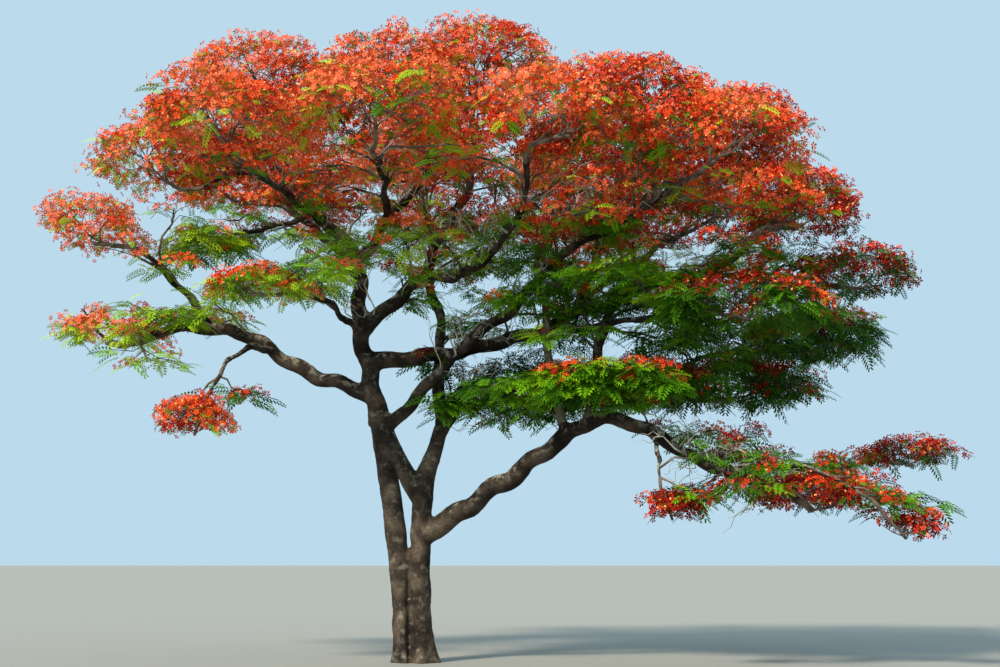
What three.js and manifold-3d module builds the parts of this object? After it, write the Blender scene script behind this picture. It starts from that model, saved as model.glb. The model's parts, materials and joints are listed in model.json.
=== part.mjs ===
// A flame tree in full bloom: a twin trunk, long crooked boughs that arch outwards, and a wide,
// flat-topped crown of feathery leaves under orange-red blossom.
// Millimetres, +Z up. The origin is the centre of the flat cut at ground level. +X is to the right
// of the front view, and +Y leads away from it.

import * as THREE from "three";
import { mergeVertices } from "three/addons/utils/BufferGeometryUtils.js";
import Module from "manifold-3d";

const wasm = await Module();
wasm.setup();

// Driving dimensions
const CLEARANCE = 0.3; // between pieces that touch
const GROUND_SINK = 250; // how far the stems are drawn below the cut, before it is made

// Trunk and boughs
const FLARE = 0.75; // how much wider a stem is at the ground, as a share of its radius
const FLARE_HEIGHT = 420; // the height over which the root flare dies away
const FLARE_LOBES = 4; // root buttresses round each stem
const FLARE_DEPTH = 0.35; // half the depth of the hollows between them, as a share of the flare
const CROOK = 0.014; // how far a bough wanders from its curve, as a share of its span
const COLLAR = 0.3; // how much wider a bough is where it leaves its parent
const COLLAR_REACH = 1.6; // the length over which that dies away, in foot radii
const STEM_SIDES = 12;
const STEM_RING_SPACING = 520;
const BOUGH_SIDES = 6;
const BOUGH_RING_SPACING = 1000;
const LEAST_RINGS = 4;
const RING_BIAS = 1.3; // over 1 draws a limb's rings towards its foot
const FRAME_STEPS = 120;

// The stem and twigs of a mass of foliage
const SEED = 7413;
const STEM_START = 0.9; // radius of a mass's stem, as a share of its bough's tip
const STEM_TAPER = 0.8; // its radius at the hub, as a share of that
const STEM_BEND = 0.4; // how long the stem keeps its bough's heading, as a share of its span
const STEM_RINGS = 2;
const HUB_RISE = -0.35; // where main twigs part, as a share of the mass's height from its centre
const TWIG_SIDES = 4;
const TWIG_SHARE = 0.55; // radius of a twig's foot, as a share of its parent's radius there
const TWIG_TAPER = 0.5; // radius of a twig where its leaf or blossom starts, as a share of its foot's
const AREA_PER_TWIG = 0.78e6; // the plan of a mass, as width times depth of a quarter, to a main twig
const TWIGS = [3, 5]; // the fewest and the most main twigs of a mass
const SIDE_LEAVES = 0.5; // share of twigs that carry a leaf at their side too
const MOST_TRIES = 3; // for each twig, before it is left out
const SPACE_MARGIN = 0.02; // how far a piece keeps inside its mass's border with the next

// Leaves and blossom. A mass of full size has a mean half width of FULL_REACH.
const FULL_REACH = 1850;
const SIZES = [0.6, 1.02]; // the smallest and largest leaf, as shares of the full length
const FITS = [1, 0.8, 0.6]; // the sizes tried in turn for each leaf or head
const LEAF_LENGTH = 1320; // one blade stands for a spray of feathery leaves
const LEAF_SLENDERNESS = 0.56; // width over length
const LEAF_THINNESS = 0.035; // thickness over length
const LEAF_WIDEST = 0.45; // how far along a leaf its widest place is
const LEAF_DROOP = 0.12; // how far its tip hangs, as a share of its length
const HEAD_SIDES = 5;
const HEAD_RADIUS = 360; // one head stands for a few clusters of blossom
const HEAD_HEIGHT = 260;
const HEAD_CREST = 90;
const HEAD_LEAN = 0.35; // how far a head leans along its twig

// The three stems that are fused into the trunk. Each runs from its foot, through one point halfway,
// to its head, and tapers from its foot's radius to its head's.
const STEMS = [
  {
    name: "west_stem", radii: [205, 182],
    foot: [-110, 60, -GROUND_SINK], through: [[-355, 90, 2115]], head: [-720, 120, 4480],
  },
  {
    name: "east_stem", radii: [205, 185],
    foot: [130, 0, -GROUND_SINK], through: [[70, 0, 1600]], head: [150, 0, 3450],
  },
  {
    name: "crossing_stem", radii: [170, 160],
    foot: [140, -30, 2900], through: [[-280, -45, 3610]], head: [-660, 60, 4380],
  },
];

// Each bough leaves a stem or another bough at a share of its length and ends at its tip, where it
// enters the mass of foliage that it carries. On its way it goes through one point halfway, or
// through three at a quarter, a half and three quarters. radii are its foot's and its tip's. A mass
// is an ellipsoid about its centre, and bloom is the share of its twigs in flower.
const LIMBS = [
  {
    name: "top_left", from: "west_stem", at: 0.985, radii: [178, 78],
    through: [[-1030, 200, 6200], [-1430, 300, 7750], [-2600, 400, 9150]], tip: [-3050, 500, 10150],
    centre: [-2900, -300, 10850], reach: [1900, 1950, 1150], bloom: 0.8,
  },
  {
    name: "top_middle_left", from: "top_left", at: 0.49, radii: [108, 60],
    through: [[-800, 200, 8050], [-300, 100, 8700], [150, -100, 9200]], tip: [150, -300, 9950],
    centre: [-350, -900, 10800], reach: [1750, 1850, 1150], bloom: 0.8,
  },
  {
    name: "left_shoulder", from: "top_left", at: 0.8, radii: [84, 50],
    through: [[-3450, 400, 9350]], tip: [-4200, 400, 9050],
    centre: [-5000, 300, 9550], reach: [1600, 1950, 1050], bloom: 0.75,
  },
  {
    name: "left_layer", from: "top_left", at: 0.69, radii: [64, 44],
    through: [[-2650, 550, 8350]], tip: [-3500, 900, 8250],
    centre: [-4250, 1000, 8050], reach: [1250, 1350, 560], bloom: 0.2,
  },
  {
    name: "low_left", from: "top_left", at: 0.08, radii: [150, 95],
    through: [[-1950, 500, 5400], [-3050, 700, 5950], [-4200, 900, 6400]], tip: [-5400, 1100, 6150],
    centre: [-6250, 1500, 6400], reach: [1350, 1500, 700], bloom: 0.6,
  },
  {
    name: "left_rim", from: "low_left", at: 0.72, radii: [88, 58],
    through: [[-4700, 650, 7150]], tip: [-5200, 350, 7650],
    centre: [-6150, -100, 8150], reach: [1250, 1700, 950], bloom: 0.8,
  },
  {
    name: "left_hanging", from: "low_left", at: 0.45, radii: [70, 40],
    through: [[-3350, -150, 5750]], tip: [-3700, -1000, 4950],
    centre: [-3900, -1450, 4350], reach: [950, 1050, 750], bloom: 0.7,
  },
  {
    name: "front_left_layer", from: "top_left", at: 0.24, radii: [76, 44],
    through: [[-1450, -900, 6450]], tip: [-1900, -2100, 6500],
    centre: [-2700, -3000, 6550], reach: [1300, 1300, 520], bloom: 0.5,
  },
  {
    name: "top_middle", from: "top_left", at: 0.28, radii: [138, 62],
    through: [[-150, 250, 7100], [450, 350, 8050], [900, 400, 9000]], tip: [1000, 500, 10300],
    centre: [1150, 600, 11500], reach: [1850, 1950, 1200], bloom: 0.8,
  },
  {
    name: "front_middle_right", from: "top_middle", at: 0.33, radii: [88, 50],
    through: [[800, -450, 7150], [1350, -1300, 7350], [1900, -2350, 7950]], tip: [2000, -3100, 8650],
    centre: [2700, -4150, 9200], reach: [1850, 2000, 1000], bloom: 0.8,
  },
  {
    name: "top_middle_right", from: "top_left", at: 0.19, radii: [158, 70],
    through: [[950, 150, 5800], [2600, 150, 6350], [3450, 150, 7700]], tip: [3900, 300, 9350],
    centre: [4150, -300, 10550], reach: [1800, 1950, 1150], bloom: 0.8,
  },
  {
    name: "front_right", from: "west_stem", at: 0.955, radii: [128, 66],
    through: [[950, -350, 5800], [2150, -600, 7000], [3350, -1500, 7700]], tip: [4400, -2900, 8150],
    centre: [5150, -3850, 8850], reach: [1850, 2000, 1000], bloom: 0.8,
  },
  {
    name: "right_layer", from: "top_middle_right", at: 0.49, radii: [72, 44],
    through: [[3500, -850, 6150]], tip: [4750, -1900, 6250],
    centre: [5900, -2500, 6300], reach: [1850, 1650, 850], bloom: 0.35,
  },
  {
    name: "top_right", from: "top_middle_right", at: 0.75, radii: [76, 50],
    through: [[4400, 300, 8550]], tip: [5300, 500, 9300],
    centre: [5950, 500, 10150], reach: [1600, 1950, 1150], bloom: 0.8,
  },
  {
    name: "right_inner", from: "east_stem", at: 0.985, radii: [150, 64],
    through: [[800, 100, 4900], [1750, 300, 4950], [3200, 650, 4800]], tip: [4600, 900, 4950],
    centre: [6000, 800, 5200], reach: [1900, 1600, 850], bloom: 0.25,
  },
  {
    name: "back_middle_left", from: "right_inner", at: 0.16, radii: [112, 60],
    through: [[300, 900, 6900]], tip: [-100, 2900, 9600],
    centre: [-200, 3900, 10600], reach: [1900, 2050, 1150], bloom: 0.75,
  },
  {
    name: "low_right", from: "east_stem", at: 0.7, radii: [195, 84],
    through: [[1750, -350, 3400], [3200, -700, 4350], [4800, -1100, 3850]], tip: [6300, -1500, 3200],
    centre: [7000, -1900, 2950], reach: [1300, 1200, 620], bloom: 0.75,
  },
  {
    name: "back_middle_right", from: "low_right", at: 0.45, radii: [82, 50],
    through: [[2400, -300, 6000], [2350, 300, 7500], [2600, 1900, 8500]], tip: [2950, 2900, 9500],
    centre: [3400, 3950, 10550], reach: [1900, 2050, 1150], bloom: 0.75,
  },
  {
    name: "right_shoulder", from: "low_right", at: 0.52, radii: [112, 60],
    through: [[3400, -600, 5800], [4150, -650, 6850], [5500, -750, 7200]], tip: [6250, -800, 7800],
    centre: [7100, -600, 8400], reach: [1500, 1850, 1100], bloom: 0.75,
  },
  {
    name: "right_rim", from: "right_shoulder", at: 0.68, radii: [62, 40],
    through: [[6200, -900, 7100]], tip: [7100, -1000, 7000],
    centre: [8100, -1000, 7100], reach: [1350, 1600, 880], bloom: 0.5,
  },
  {
    name: "low_right_end", from: "low_right", at: 0.9, radii: [60, 40],
    through: [[6700, -2000, 3500]], tip: [7650, -2500, 3050],
    centre: [8500, -2400, 2450], reach: [900, 950, 600], bloom: 0.9,
  },
  {
    name: "low_right_hanging", from: "low_right", at: 0.68, radii: [50, 34],
    through: [[4350, -1550, 3800]], tip: [4350, -2000, 3300],
    centre: [4500, -2500, 2750], reach: [720, 820, 560], bloom: 0.9,
  },
  {
    name: "far_right", from: "low_right", at: 0.84, radii: [66, 40],
    through: [[7100, -500, 3500]], tip: [8500, 300, 3700],
    centre: [9450, 600, 3850], reach: [1150, 1250, 550], bloom: 0.6,
  },
  {
    name: "centre_layer", from: "right_inner", at: 0.36, radii: [62, 40],
    through: [[1850, -250, 5050]], tip: [2350, -800, 5050],
    centre: [3500, -1500, 5050], reach: [1600, 1450, 650], bloom: 0.15,
  },
  {
    name: "right_back_layer", from: "right_inner", at: 0.75, radii: [62, 40],
    through: [[5200, 1500, 5700]], tip: [7000, 2300, 6100],
    centre: [8000, 2500, 6400], reach: [1650, 1700, 950], bloom: 0.3,
  },
  {
    name: "back_left", from: "top_left", at: 0.5, radii: [92, 50],
    through: [[-2250, 1500, 8500]], tip: [-2900, 2700, 9150],
    centre: [-3800, 3700, 9900], reach: [1900, 2050, 1100], bloom: 0.75,
  },
  {
    name: "front_left", from: "top_left", at: 0.62, radii: [82, 50],
    through: [[-2500, -1400, 8600]], tip: [-2700, -2900, 8550],
    centre: [-3050, -3900, 9150], reach: [1800, 2000, 1000], bloom: 0.75,
  },
  {
    name: "front_middle", from: "top_middle_left", at: 0.35, radii: [72, 45],
    through: [[-550, -1700, 8750]], tip: [-600, -3100, 8750],
    centre: [-500, -4200, 9350], reach: [1800, 2000, 1000], bloom: 0.75,
  },
  {
    name: "back_right", from: "top_middle_right", at: 0.6, radii: [76, 45],
    through: [[4500, 1900, 7950]], tip: [5800, 3000, 8850],
    centre: [6800, 3800, 9650], reach: [1850, 2050, 1100], bloom: 0.75,
  },
];

const { lerp, clamp } = THREE.MathUtils;
const vector = ([x, y, z]) => new THREE.Vector3(x, y, z);
const UP = new THREE.Vector3(0, 0, 1);

// Seeded numbers from 0 to 1, by a linear congruence, so that every run grows the same tree.
class Draws {
  constructor(seed) {
    this.state = seed;
  }
  next() {
    this.state = (this.state * 1664525 + 1013904223) % 4294967296;
    return this.state / 4294967296;
  }
  between(low, high) {
    return low + (high - low) * this.next();
  }
}

// The centreline of a stem or bough: a straight span with arcs of one, two and three half waves,
// sized to go through its given points, and a crook that makes it wander a little from them.
class LimbLine extends THREE.Curve {
  constructor(foot, tip, through, crook, phase) {
    super();
    this.foot = foot.clone();
    this.span = tip.clone().sub(foot);
    const stray = through.map((point, i) =>
      vector(point).sub(foot).addScaledVector(this.span, -(i + 1) / (through.length + 1)),
    );
    const half = through.length === 3 ? stray[1] : stray[0];
    const slight = half.clone().multiplyScalar(Math.SQRT1_2);
    const [quarter, late] = through.length === 3 ? [stray[0], stray[2]] : [slight, slight];
    const both = quarter.clone().add(late).multiplyScalar(Math.SQRT1_2);
    this.bow = both.clone().add(half).multiplyScalar(0.5);
    this.sway = quarter.clone().sub(late).multiplyScalar(0.5);
    this.kink = both.clone().sub(half).multiplyScalar(0.5);
    this.wander = crook * this.span.length();
    this.phase = phase;
    this.side = new THREE.Vector3().crossVectors(this.span, UP).normalize();
    this.lift = new THREE.Vector3().crossVectors(this.side, this.span).normalize();
  }
  getPoint(t, target = new THREE.Vector3()) {
    const arc = Math.sin(Math.PI * t);
    return target
      .copy(this.foot)
      .addScaledVector(this.span, t)
      .addScaledVector(this.bow, arc)
      .addScaledVector(this.sway, Math.sin(2 * Math.PI * t))
      .addScaledVector(this.kink, Math.sin(3 * Math.PI * t))
      .addScaledVector(this.side, arc * this.wander * Math.sin(5 * Math.PI * t + this.phase))
      .addScaledVector(this.lift, arc * this.wander * Math.cos(4 * Math.PI * t + 2 * this.phase));
  }
}

// A closed solid from a three.js geometry, its shared vertices merged.
function solidOf(geometry) {
  const bare = geometry.clone().deleteAttribute("normal").deleteAttribute("uv");
  const merged = mergeVertices(bare, 1e-3);
  return new wasm.Manifold(
    new wasm.Mesh({
      numProp: 3,
      vertProperties: merged.attributes.position.array,
      triVerts: new Uint32Array(merged.index.array),
    }),
  );
}

function meshOf(name, solid, material) {
  const made = solid.getMesh();
  const geometry = new THREE.BufferGeometry()
    .setAttribute("position", new THREE.BufferAttribute(made.vertProperties, 3))
    .setIndex(new THREE.BufferAttribute(made.triVerts, 1))
    .toNonIndexed();
  geometry.computeVertexNormals();
  const mesh = new THREE.Mesh(geometry, material);
  mesh.name = name;
  return mesh;
}

// The biggest piece of a solid: it drops loose scraps and fills sealed hollows.
function largestBody(solid) {
  return solid.decompose().reduce((best, body) => (body.volume() > best.volume() ? body : best));
}

// A cylinder reshaped ring by ring. placeAt gives a corner's place from its ring, counted from the
// foot, and its two shares of the ring's radius. A pointed one closes to a point at its tip.
function reshaped(sides, rings, pointed, placeAt) {
  const geometry = new THREE.CylinderGeometry(pointed ? 0 : 1, 1, 1, sides, rings);
  const position = geometry.attributes.position;
  const corner = new THREE.Vector3();
  for (let i = 0; i < position.count; i++) {
    corner.fromBufferAttribute(position, i);
    const ring = Math.round((corner.y + 0.5) * rings);
    corner.setY(0).normalize();
    const place = placeAt(ring, corner.x, corner.z);
    position.setXYZ(i, place.x, place.y, place.z);
  }
  return solidOf(geometry);
}

// A round limb along a line, with radiusAt giving its radius at a share of its length and an angle.
// Its rings stand closer together near its foot. extra is a skin added all round it.
function limbSolid(line, radiusAt, sides, rings, extra = 0) {
  const frames = line.computeFrenetFrames(FRAME_STEPS);
  return reshaped(sides, rings, false, (ring, x, z) => {
    const share = (ring / rings) ** RING_BIAS;
    const step = Math.round(share * FRAME_STEPS);
    const radius = radiusAt(share, Math.atan2(z, x)) + extra;
    const past = { 0: -extra, [rings]: extra }[ring] ?? 0;
    return line
      .getPointAt(share)
      .addScaledVector(frames.tangents[step], past)
      .addScaledVector(frames.normals[step], radius * x)
      .addScaledVector(frames.binormals[step], -radius * z);
  });
}

const lines = {}; // the centreline of each stem and bough, by name

// A stem of the trunk. Its foot spreads into root buttresses, which die away with height.
function stemSolid(stem, extra) {
  const line = lines[stem.name];
  const length = line.getLength();
  const radiusAt = (share, angle) => {
    const height = stem.foot[2] + share * length;
    const flare = FLARE * Math.exp(-Math.max(height, 0) / FLARE_HEIGHT);
    const buttress = 1 - FLARE_DEPTH + FLARE_DEPTH * Math.cos(FLARE_LOBES * angle);
    return lerp(stem.radii[0], stem.radii[1], share) * (1 + flare * buttress);
  };
  return limbSolid(line, radiusAt, STEM_SIDES, Math.ceil(length / STEM_RING_SPACING), extra);
}

function trunkSolid(extra = 0) {
  for (const { name, foot, head, through } of STEMS) {
    lines[name] = new LimbLine(vector(foot), vector(head), through, 0, 0);
  }
  const stems = STEMS.map((stem) => stemSolid(stem, extra));
  return largestBody(wasm.Manifold.union(stems).trimByPlane([0, 0, 1], 0));
}

// A bough that tapers from a collar at its parent to its tip.
function boughSolid(limb, extra) {
  const line = lines[limb.name];
  const length = line.getLength();
  const [foot, tip] = limb.radii;
  const collar = (share) => foot * COLLAR * Math.exp((-share * length) / (COLLAR_REACH * foot));
  const radiusAt = (share) => lerp(foot, tip, share) + collar(share);
  const rings = Math.max(LEAST_RINGS, Math.ceil(length / BOUGH_RING_SPACING));
  return limbSolid(line, radiusAt, BOUGH_SIDES, rings, extra);
}

// The place of a point in an ellipsoid: under 1 inside it, and 1 on its skin.
function depthIn(limb, point) {
  return Math.hypot(...[0, 1, 2].map((i) => (point.getComponent(i) - limb.centre[i]) / limb.reach[i]));
}

// A point belongs to a mass if it lies inside that mass's ellipsoid and deeper than in any other's.
function belongs(limb, point) {
  const own = depthIn(limb, point);
  return own <= 1 && LIMBS.every((other) => other === limb || depthIn(other, point) > own + SPACE_MARGIN);
}

// A pointed piece through rings that each have a centre, the direction they face, and a half width
// and a half depth. across is the direction of every ring's width.
function ringedSolid(rings, across, sides) {
  return reshaped(sides, rings.length - 1, true, (i, x, z) => {
    const { centre, facing, width, depth } = rings[i];
    const face = new THREE.Vector3().crossVectors(across, facing);
    return centre.clone().addScaledVector(across, width * x).addScaledVector(face, depth * z);
  });
}

const acrossOf = (along) => new THREE.Vector3().crossVectors(UP, along).normalize();
const ringAt = (centre, facing, width, depth) => ({ centre, facing, width, depth });

// A twig that ends in a leaf: a thin four-sided blade that stands for a spray and droops a little.
function leafyTwig(foot, neck, radius, length, rise) {
  const neckRadius = radius * TWIG_TAPER;
  const along = neck.clone().sub(foot).normalize();
  const heading = along.clone().setZ(rise).normalize();
  const width = (length * LEAF_SLENDERNESS) / 2;
  const depth = (length * LEAF_THINNESS) / 2;
  const widest = neck.clone().addScaledVector(heading, length * LEAF_WIDEST);
  const tip = neck.clone().addScaledVector(heading, length).addScaledVector(UP, -length * LEAF_DROOP);
  const across = acrossOf(along);
  const edges = [-width, width].map((side) => widest.clone().addScaledVector(across, side));
  const blade = [
    ringAt(neck, along, neckRadius, neckRadius),
    ringAt(widest, heading, width, depth),
    ringAt(tip, heading, 0, 0),
  ];
  return {
    solid: ringedSolid([ringAt(foot, along, radius, radius), ...blade], across, TWIG_SIDES),
    end: ringedSolid(blade, across, TWIG_SIDES),
    corners: [neck, tip, ...edges],
  };
}

// A twig that ends in a head of blossom: a shallow cup that opens upwards and closes to a low point.
function floweringTwig(foot, neck, radius, size) {
  const neckRadius = radius * TWIG_TAPER;
  const along = neck.clone().sub(foot).normalize();
  const facing = along.clone().multiplyScalar(HEAD_LEAN).add(UP).normalize();
  const across = acrossOf(along);
  const face = new THREE.Vector3().crossVectors(across, facing);
  const brim = neck.clone().addScaledVector(facing, HEAD_HEIGHT * size);
  const crest = brim.clone().addScaledVector(facing, HEAD_CREST * size);
  const reach = HEAD_RADIUS * size;
  const rim = [across, face].flatMap((way) =>
    [-reach, reach].map((distance) => brim.clone().addScaledVector(way, distance)),
  );
  const head = [
    ringAt(neck, along, neckRadius, neckRadius),
    ringAt(brim, facing, reach, reach),
    ringAt(crest, facing, 0, 0),
  ];
  return {
    solid: ringedSolid([ringAt(foot, along, radius, radius), ...head], across, HEAD_SIDES),
    end: ringedSolid(head, across, HEAD_SIDES),
    corners: [neck, crest, ...rim],
  };
}

// A leaf without a twig of its own: an eight-sided blade with its root in the middle of a twig.
function sideLeaf(root, along, length) {
  const across = acrossOf(along);
  const face = new THREE.Vector3().crossVectors(along, across);
  const at = (share) => root.clone().addScaledVector(along, length * share);
  const solid = solidOf(
    new THREE.OctahedronGeometry(0.5)
      .scale(length, length * LEAF_SLENDERNESS, length * LEAF_THINNESS)
      .translate(length / 2, 0, 0)
      .applyMatrix4(new THREE.Matrix4().makeBasis(along, across, face))
      .translate(root.x, root.y, root.z),
  );
  const edges = [-0.5, 0.5].map((side) => at(0.5).addScaledVector(across, length * LEAF_SLENDERNESS * side));
  return { solid, end: solid, corners: [at(1), ...edges] };
}

const boxesMeet = (a, b) => [0, 1, 2].every((i) => a.min[i] <= b.max[i] && b.min[i] <= a.max[i]);
const apart = (a, b) => !boxesMeet(a.boundingBox(), b.boundingBox()) || a.intersect(b).volume() === 0;

// One mass of foliage. A stem takes over from its bough's tip, main twigs fan out from the stem
// towards the skin of the mass, each throws a side twig, and every twig ends in a leaf or in a head
// of blossom and carries more leaves. A piece that would leave the mass's own space, touch anything
// in neighbours or cross another leaf is left out.
function massSolid(limb, neighbours, draws) {
  const line = lines[limb.name];
  const centre = vector(limb.centre);
  const reach = vector(limb.reach);
  const onSkin = (turn, spread, rise) =>
    new THREE.Vector3(Math.cos(turn) * spread, Math.sin(turn) * spread, rise).multiply(reach).add(centre);
  const heading = line.getTangentAt(1);
  const start = line.getPoint(1).addScaledVector(heading, CLEARANCE);
  const hub = onSkin(0, 0, HUB_RISE);
  const bend = start.clone().addScaledVector(heading, start.distanceTo(hub) * STEM_BEND);
  const stemLine = new THREE.QuadraticBezierCurve3(start, bend, hub);
  const stemRadius = limb.radii[1] * STEM_START;
  const hubRadius = stemRadius * STEM_TAPER;
  const stem = limbSolid(stemLine, (share) => lerp(stemRadius, hubRadius, share), TWIG_SIDES, STEM_RINGS);

  const kept = [{ solid: stem, end: stem }];
  const tryPiece = (piece, parent) => {
    const fits =
      piece.corners.every((corner) => belongs(limb, corner)) &&
      neighbours.every((other) => apart(piece.solid, other)) &&
      kept.every((other) => other === parent || apart(piece.end, other.solid));
    if (fits) kept.push(piece);
    return fits ? piece : null;
  };
  const firstFit = (make, parent) => FITS.reduce((made, share) => made || tryPiece(make(share), parent), null);

  const area = reach.x * reach.y;
  const size = clamp(Math.sqrt(area) / FULL_REACH, ...SIZES);
  const leafLength = LEAF_LENGTH * size;
  const mainTwigs = Math.round(clamp(area / AREA_PER_TWIG, ...TWIGS));
  const addTwig = (foot, neck, radius, parent) => {
    const rise = draws.between(-0.1, 0.5) * Math.min(1, reach.z / 1100);
    const leafy = (share) => leafyTwig(foot, neck, radius, leafLength * share, rise);
    const flowering = (share) => floweringTwig(foot, neck, radius, size * share);
    const inFlower = draws.next() < limb.bloom;
    return firstFit(inFlower ? flowering : leafy, parent);
  };
  const addSideLeaf = (foot, neck, share, angle, parent) => {
    const direction = neck.clone().sub(foot).applyAxisAngle(UP, angle).normalize();
    const along = direction.setZ(draws.between(-0.12, 0.2)).normalize();
    const root = foot.clone().lerp(neck, share);
    firstFit((part) => sideLeaf(root, along, leafLength * part), parent);
  };

  const firstTurn = draws.between(0, 2 * Math.PI);
  for (let i = 0; i < mainTwigs; i++) {
    const foot = stemLine.getPointAt(draws.between(0.84, 0.97));
    const radius = hubRadius * TWIG_SHARE;
    let turn;
    let neck;
    let twig = null;
    for (let tries = 0; tries < MOST_TRIES && !twig; tries++) {
      turn = firstTurn + ((i + draws.between(-0.3, 0.3)) * 2 * Math.PI) / mainTwigs;
      neck =
        i === 0 && mainTwigs > 3
          ? onSkin(turn, draws.between(0.1, 0.2), draws.between(0.4, 0.5))
          : onSkin(turn, draws.between(0.38, 0.58), draws.between(0, 0.45));
      twig = addTwig(foot, neck, radius, kept[0]);
    }
    if (!twig) continue;
    const hand = draws.next() < 0.5 ? 1 : -1;
    if (draws.next() < SIDE_LEAVES) addSideLeaf(foot, neck, 0.9, hand * draws.between(0.8, 1.1), twig);
    let side = null;
    for (let tries = 0; tries < MOST_TRIES && !side; tries++) {
      const sideTurn = turn - hand * draws.between(0.45, 0.8);
      const fork = draws.between(0.4, 0.55);
      const sideFoot = foot.clone().lerp(neck, fork);
      const sideRadius = radius * lerp(1, TWIG_TAPER, fork) * TWIG_SHARE;
      const sideNeck = onSkin(sideTurn, draws.between(0.48, 0.7), draws.between(-0.2, 0.35));
      side = addTwig(sideFoot, sideNeck, sideRadius, twig);
      if (!side || draws.next() > SIDE_LEAVES) continue;
      addSideLeaf(sideFoot, sideNeck, 0.8, -hand * draws.between(0.8, 1.1), side);
    }
  }
  return largestBody(wasm.Manifold.union(kept.map((piece) => piece.solid)));
}

const material = (name, color, roughness) => new THREE.MeshStandardMaterial({ name, color, roughness });
const bark = () => material("bark", "#6f6152", 0.9);
const foliage = () => material("foliage", "#5f8a22", 0.7);
const blossom = () => material("blossom", "#e0441c", 0.65);

function flameTree() {
  const tree = new THREE.Group();
  tree.name = "flame_tree";
  const trunk = trunkSolid();
  tree.add(meshOf("trunk", trunk, bark()));

  // Each bough is cut clear of the limbs made before it, so that its foot sits on its parent.
  const clearOf = [trunkSolid(CLEARANCE)];
  const golden = (1 + Math.sqrt(5)) / 2;
  LIMBS.forEach((limb, i) => {
    const foot = lines[limb.from].getPointAt(limb.at);
    lines[limb.name] = new LimbLine(foot, vector(limb.tip), limb.through, CROOK, 2 * Math.PI * i * golden);
    const bough = largestBody(clearOf.reduce((cut, other) => cut.subtract(other), boughSolid(limb, 0)));
    clearOf.push(boughSolid(limb, CLEARANCE));
    tree.add(meshOf("bough_" + limb.name, bough, bark()));
  });

  const neighbours = [...clearOf];
  LIMBS.forEach((limb, i) => {
    const mass = massSolid(limb, neighbours, new Draws(SEED + 97 * i));
    neighbours.push(mass);
    tree.add(meshOf("foliage_" + limb.name, mass, limb.bloom < 0.5 ? foliage() : blossom()));
  });
  return tree;
}

export default flameTree();
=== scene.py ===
"""A flame tree in full bloom: a twin trunk, long crooked boughs that arch outwards, and a wide,
flat-topped crown of feathery leaves under orange-red blossom.

Metres, +Z up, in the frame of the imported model. Sizes copied from its source are in millimetres and
pass through MM.
"""

import json
import logging
import math
from dataclasses import dataclass, field, fields
from enum import Enum, IntEnum
from itertools import product

import bmesh
import bpy
import numpy as np
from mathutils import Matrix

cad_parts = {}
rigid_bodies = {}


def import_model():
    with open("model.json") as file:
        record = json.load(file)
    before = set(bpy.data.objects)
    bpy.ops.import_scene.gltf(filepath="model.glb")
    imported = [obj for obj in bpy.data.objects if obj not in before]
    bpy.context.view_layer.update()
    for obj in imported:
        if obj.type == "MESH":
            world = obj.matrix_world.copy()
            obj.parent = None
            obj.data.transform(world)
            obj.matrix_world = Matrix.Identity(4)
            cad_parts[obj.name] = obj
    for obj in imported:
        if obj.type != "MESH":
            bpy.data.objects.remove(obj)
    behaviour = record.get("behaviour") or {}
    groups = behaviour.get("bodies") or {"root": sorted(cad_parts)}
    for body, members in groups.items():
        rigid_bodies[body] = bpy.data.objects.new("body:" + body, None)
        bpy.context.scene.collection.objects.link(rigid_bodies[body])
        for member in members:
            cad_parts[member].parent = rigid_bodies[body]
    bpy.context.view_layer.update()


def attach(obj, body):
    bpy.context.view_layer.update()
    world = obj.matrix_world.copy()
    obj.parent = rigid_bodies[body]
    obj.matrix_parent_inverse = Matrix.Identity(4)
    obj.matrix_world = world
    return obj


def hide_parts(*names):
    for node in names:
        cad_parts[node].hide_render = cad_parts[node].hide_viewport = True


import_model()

Array = np.ndarray
Pair = tuple[float, float]
Point = tuple[float, float, float]
log = logging.getLogger("flame_tree")

MM = 0.001
UP = np.array([0.0, 0.0, 1.0])
TURN = 2 * math.pi
GOLDEN = (1 + math.sqrt(5)) / 2
GOLDEN_TURN = TURN * (1 - 1 / GOLDEN)

# The rule by which the solids were grown, with the same values
SEED = 7413
DRAW_FACTOR, DRAW_STEP, DRAW_SPAN = 1664525, 1013904223, 2**32
FLARE, FLARE_HEIGHT, FLARE_LOBES, FLARE_DEPTH = 0.75, 0.42, 4, 0.35
CROOK, COLLAR, COLLAR_REACH = 0.014, 0.3, 1.6
CLEARANCE = 0.0003
STEM_START, STEM_TAPER, STEM_BEND, HUB_RISE = 0.9, 0.8, 0.4, -0.35
TWIG_SHARE, TWIG_TAPER = 0.55, 0.5
AREA_PER_TWIG, MAIN_TWIGS = 0.78, (3, 5)
FULL_REACH, SIZES = 1.85, (0.6, 1.02)
HEAD_LEAN = 0.35

# Where the random numbers of each kind of part start, and how far those of like parts lie apart
STEM_SEED, BOUGH_SEED, BEND_SEED, BARE_SEED = 11, 31, 7, 501
MASS_STEP, BARE_STEP, LEAF_STEP, BLOSSOM_STEP = 97, 13, 1, 7

# The lattice behind the noise, and shifts that keep the noise of one use apart from another's
LATTICE_TURNS, LATTICE_SPREAD = np.array([127.1, 311.7, 74.7]), 43758.5453
GAP_SHIFT, LUMP_SHIFT, BLOOM_SHIFT, WAYSIDE_SHIFT = 17, 50, 40, 90

# In how many steps a centreline is measured, and in how many it is compared with a skin
LINE_TICKS, LINE_STEPS = 201, 60

# Two axes that stand across what blossom faces, for turning it about
ASIDE, ASKEW = np.array([0.31, 0.95, 0.0]), np.array([0.95, 0.1, 0.31])

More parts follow.
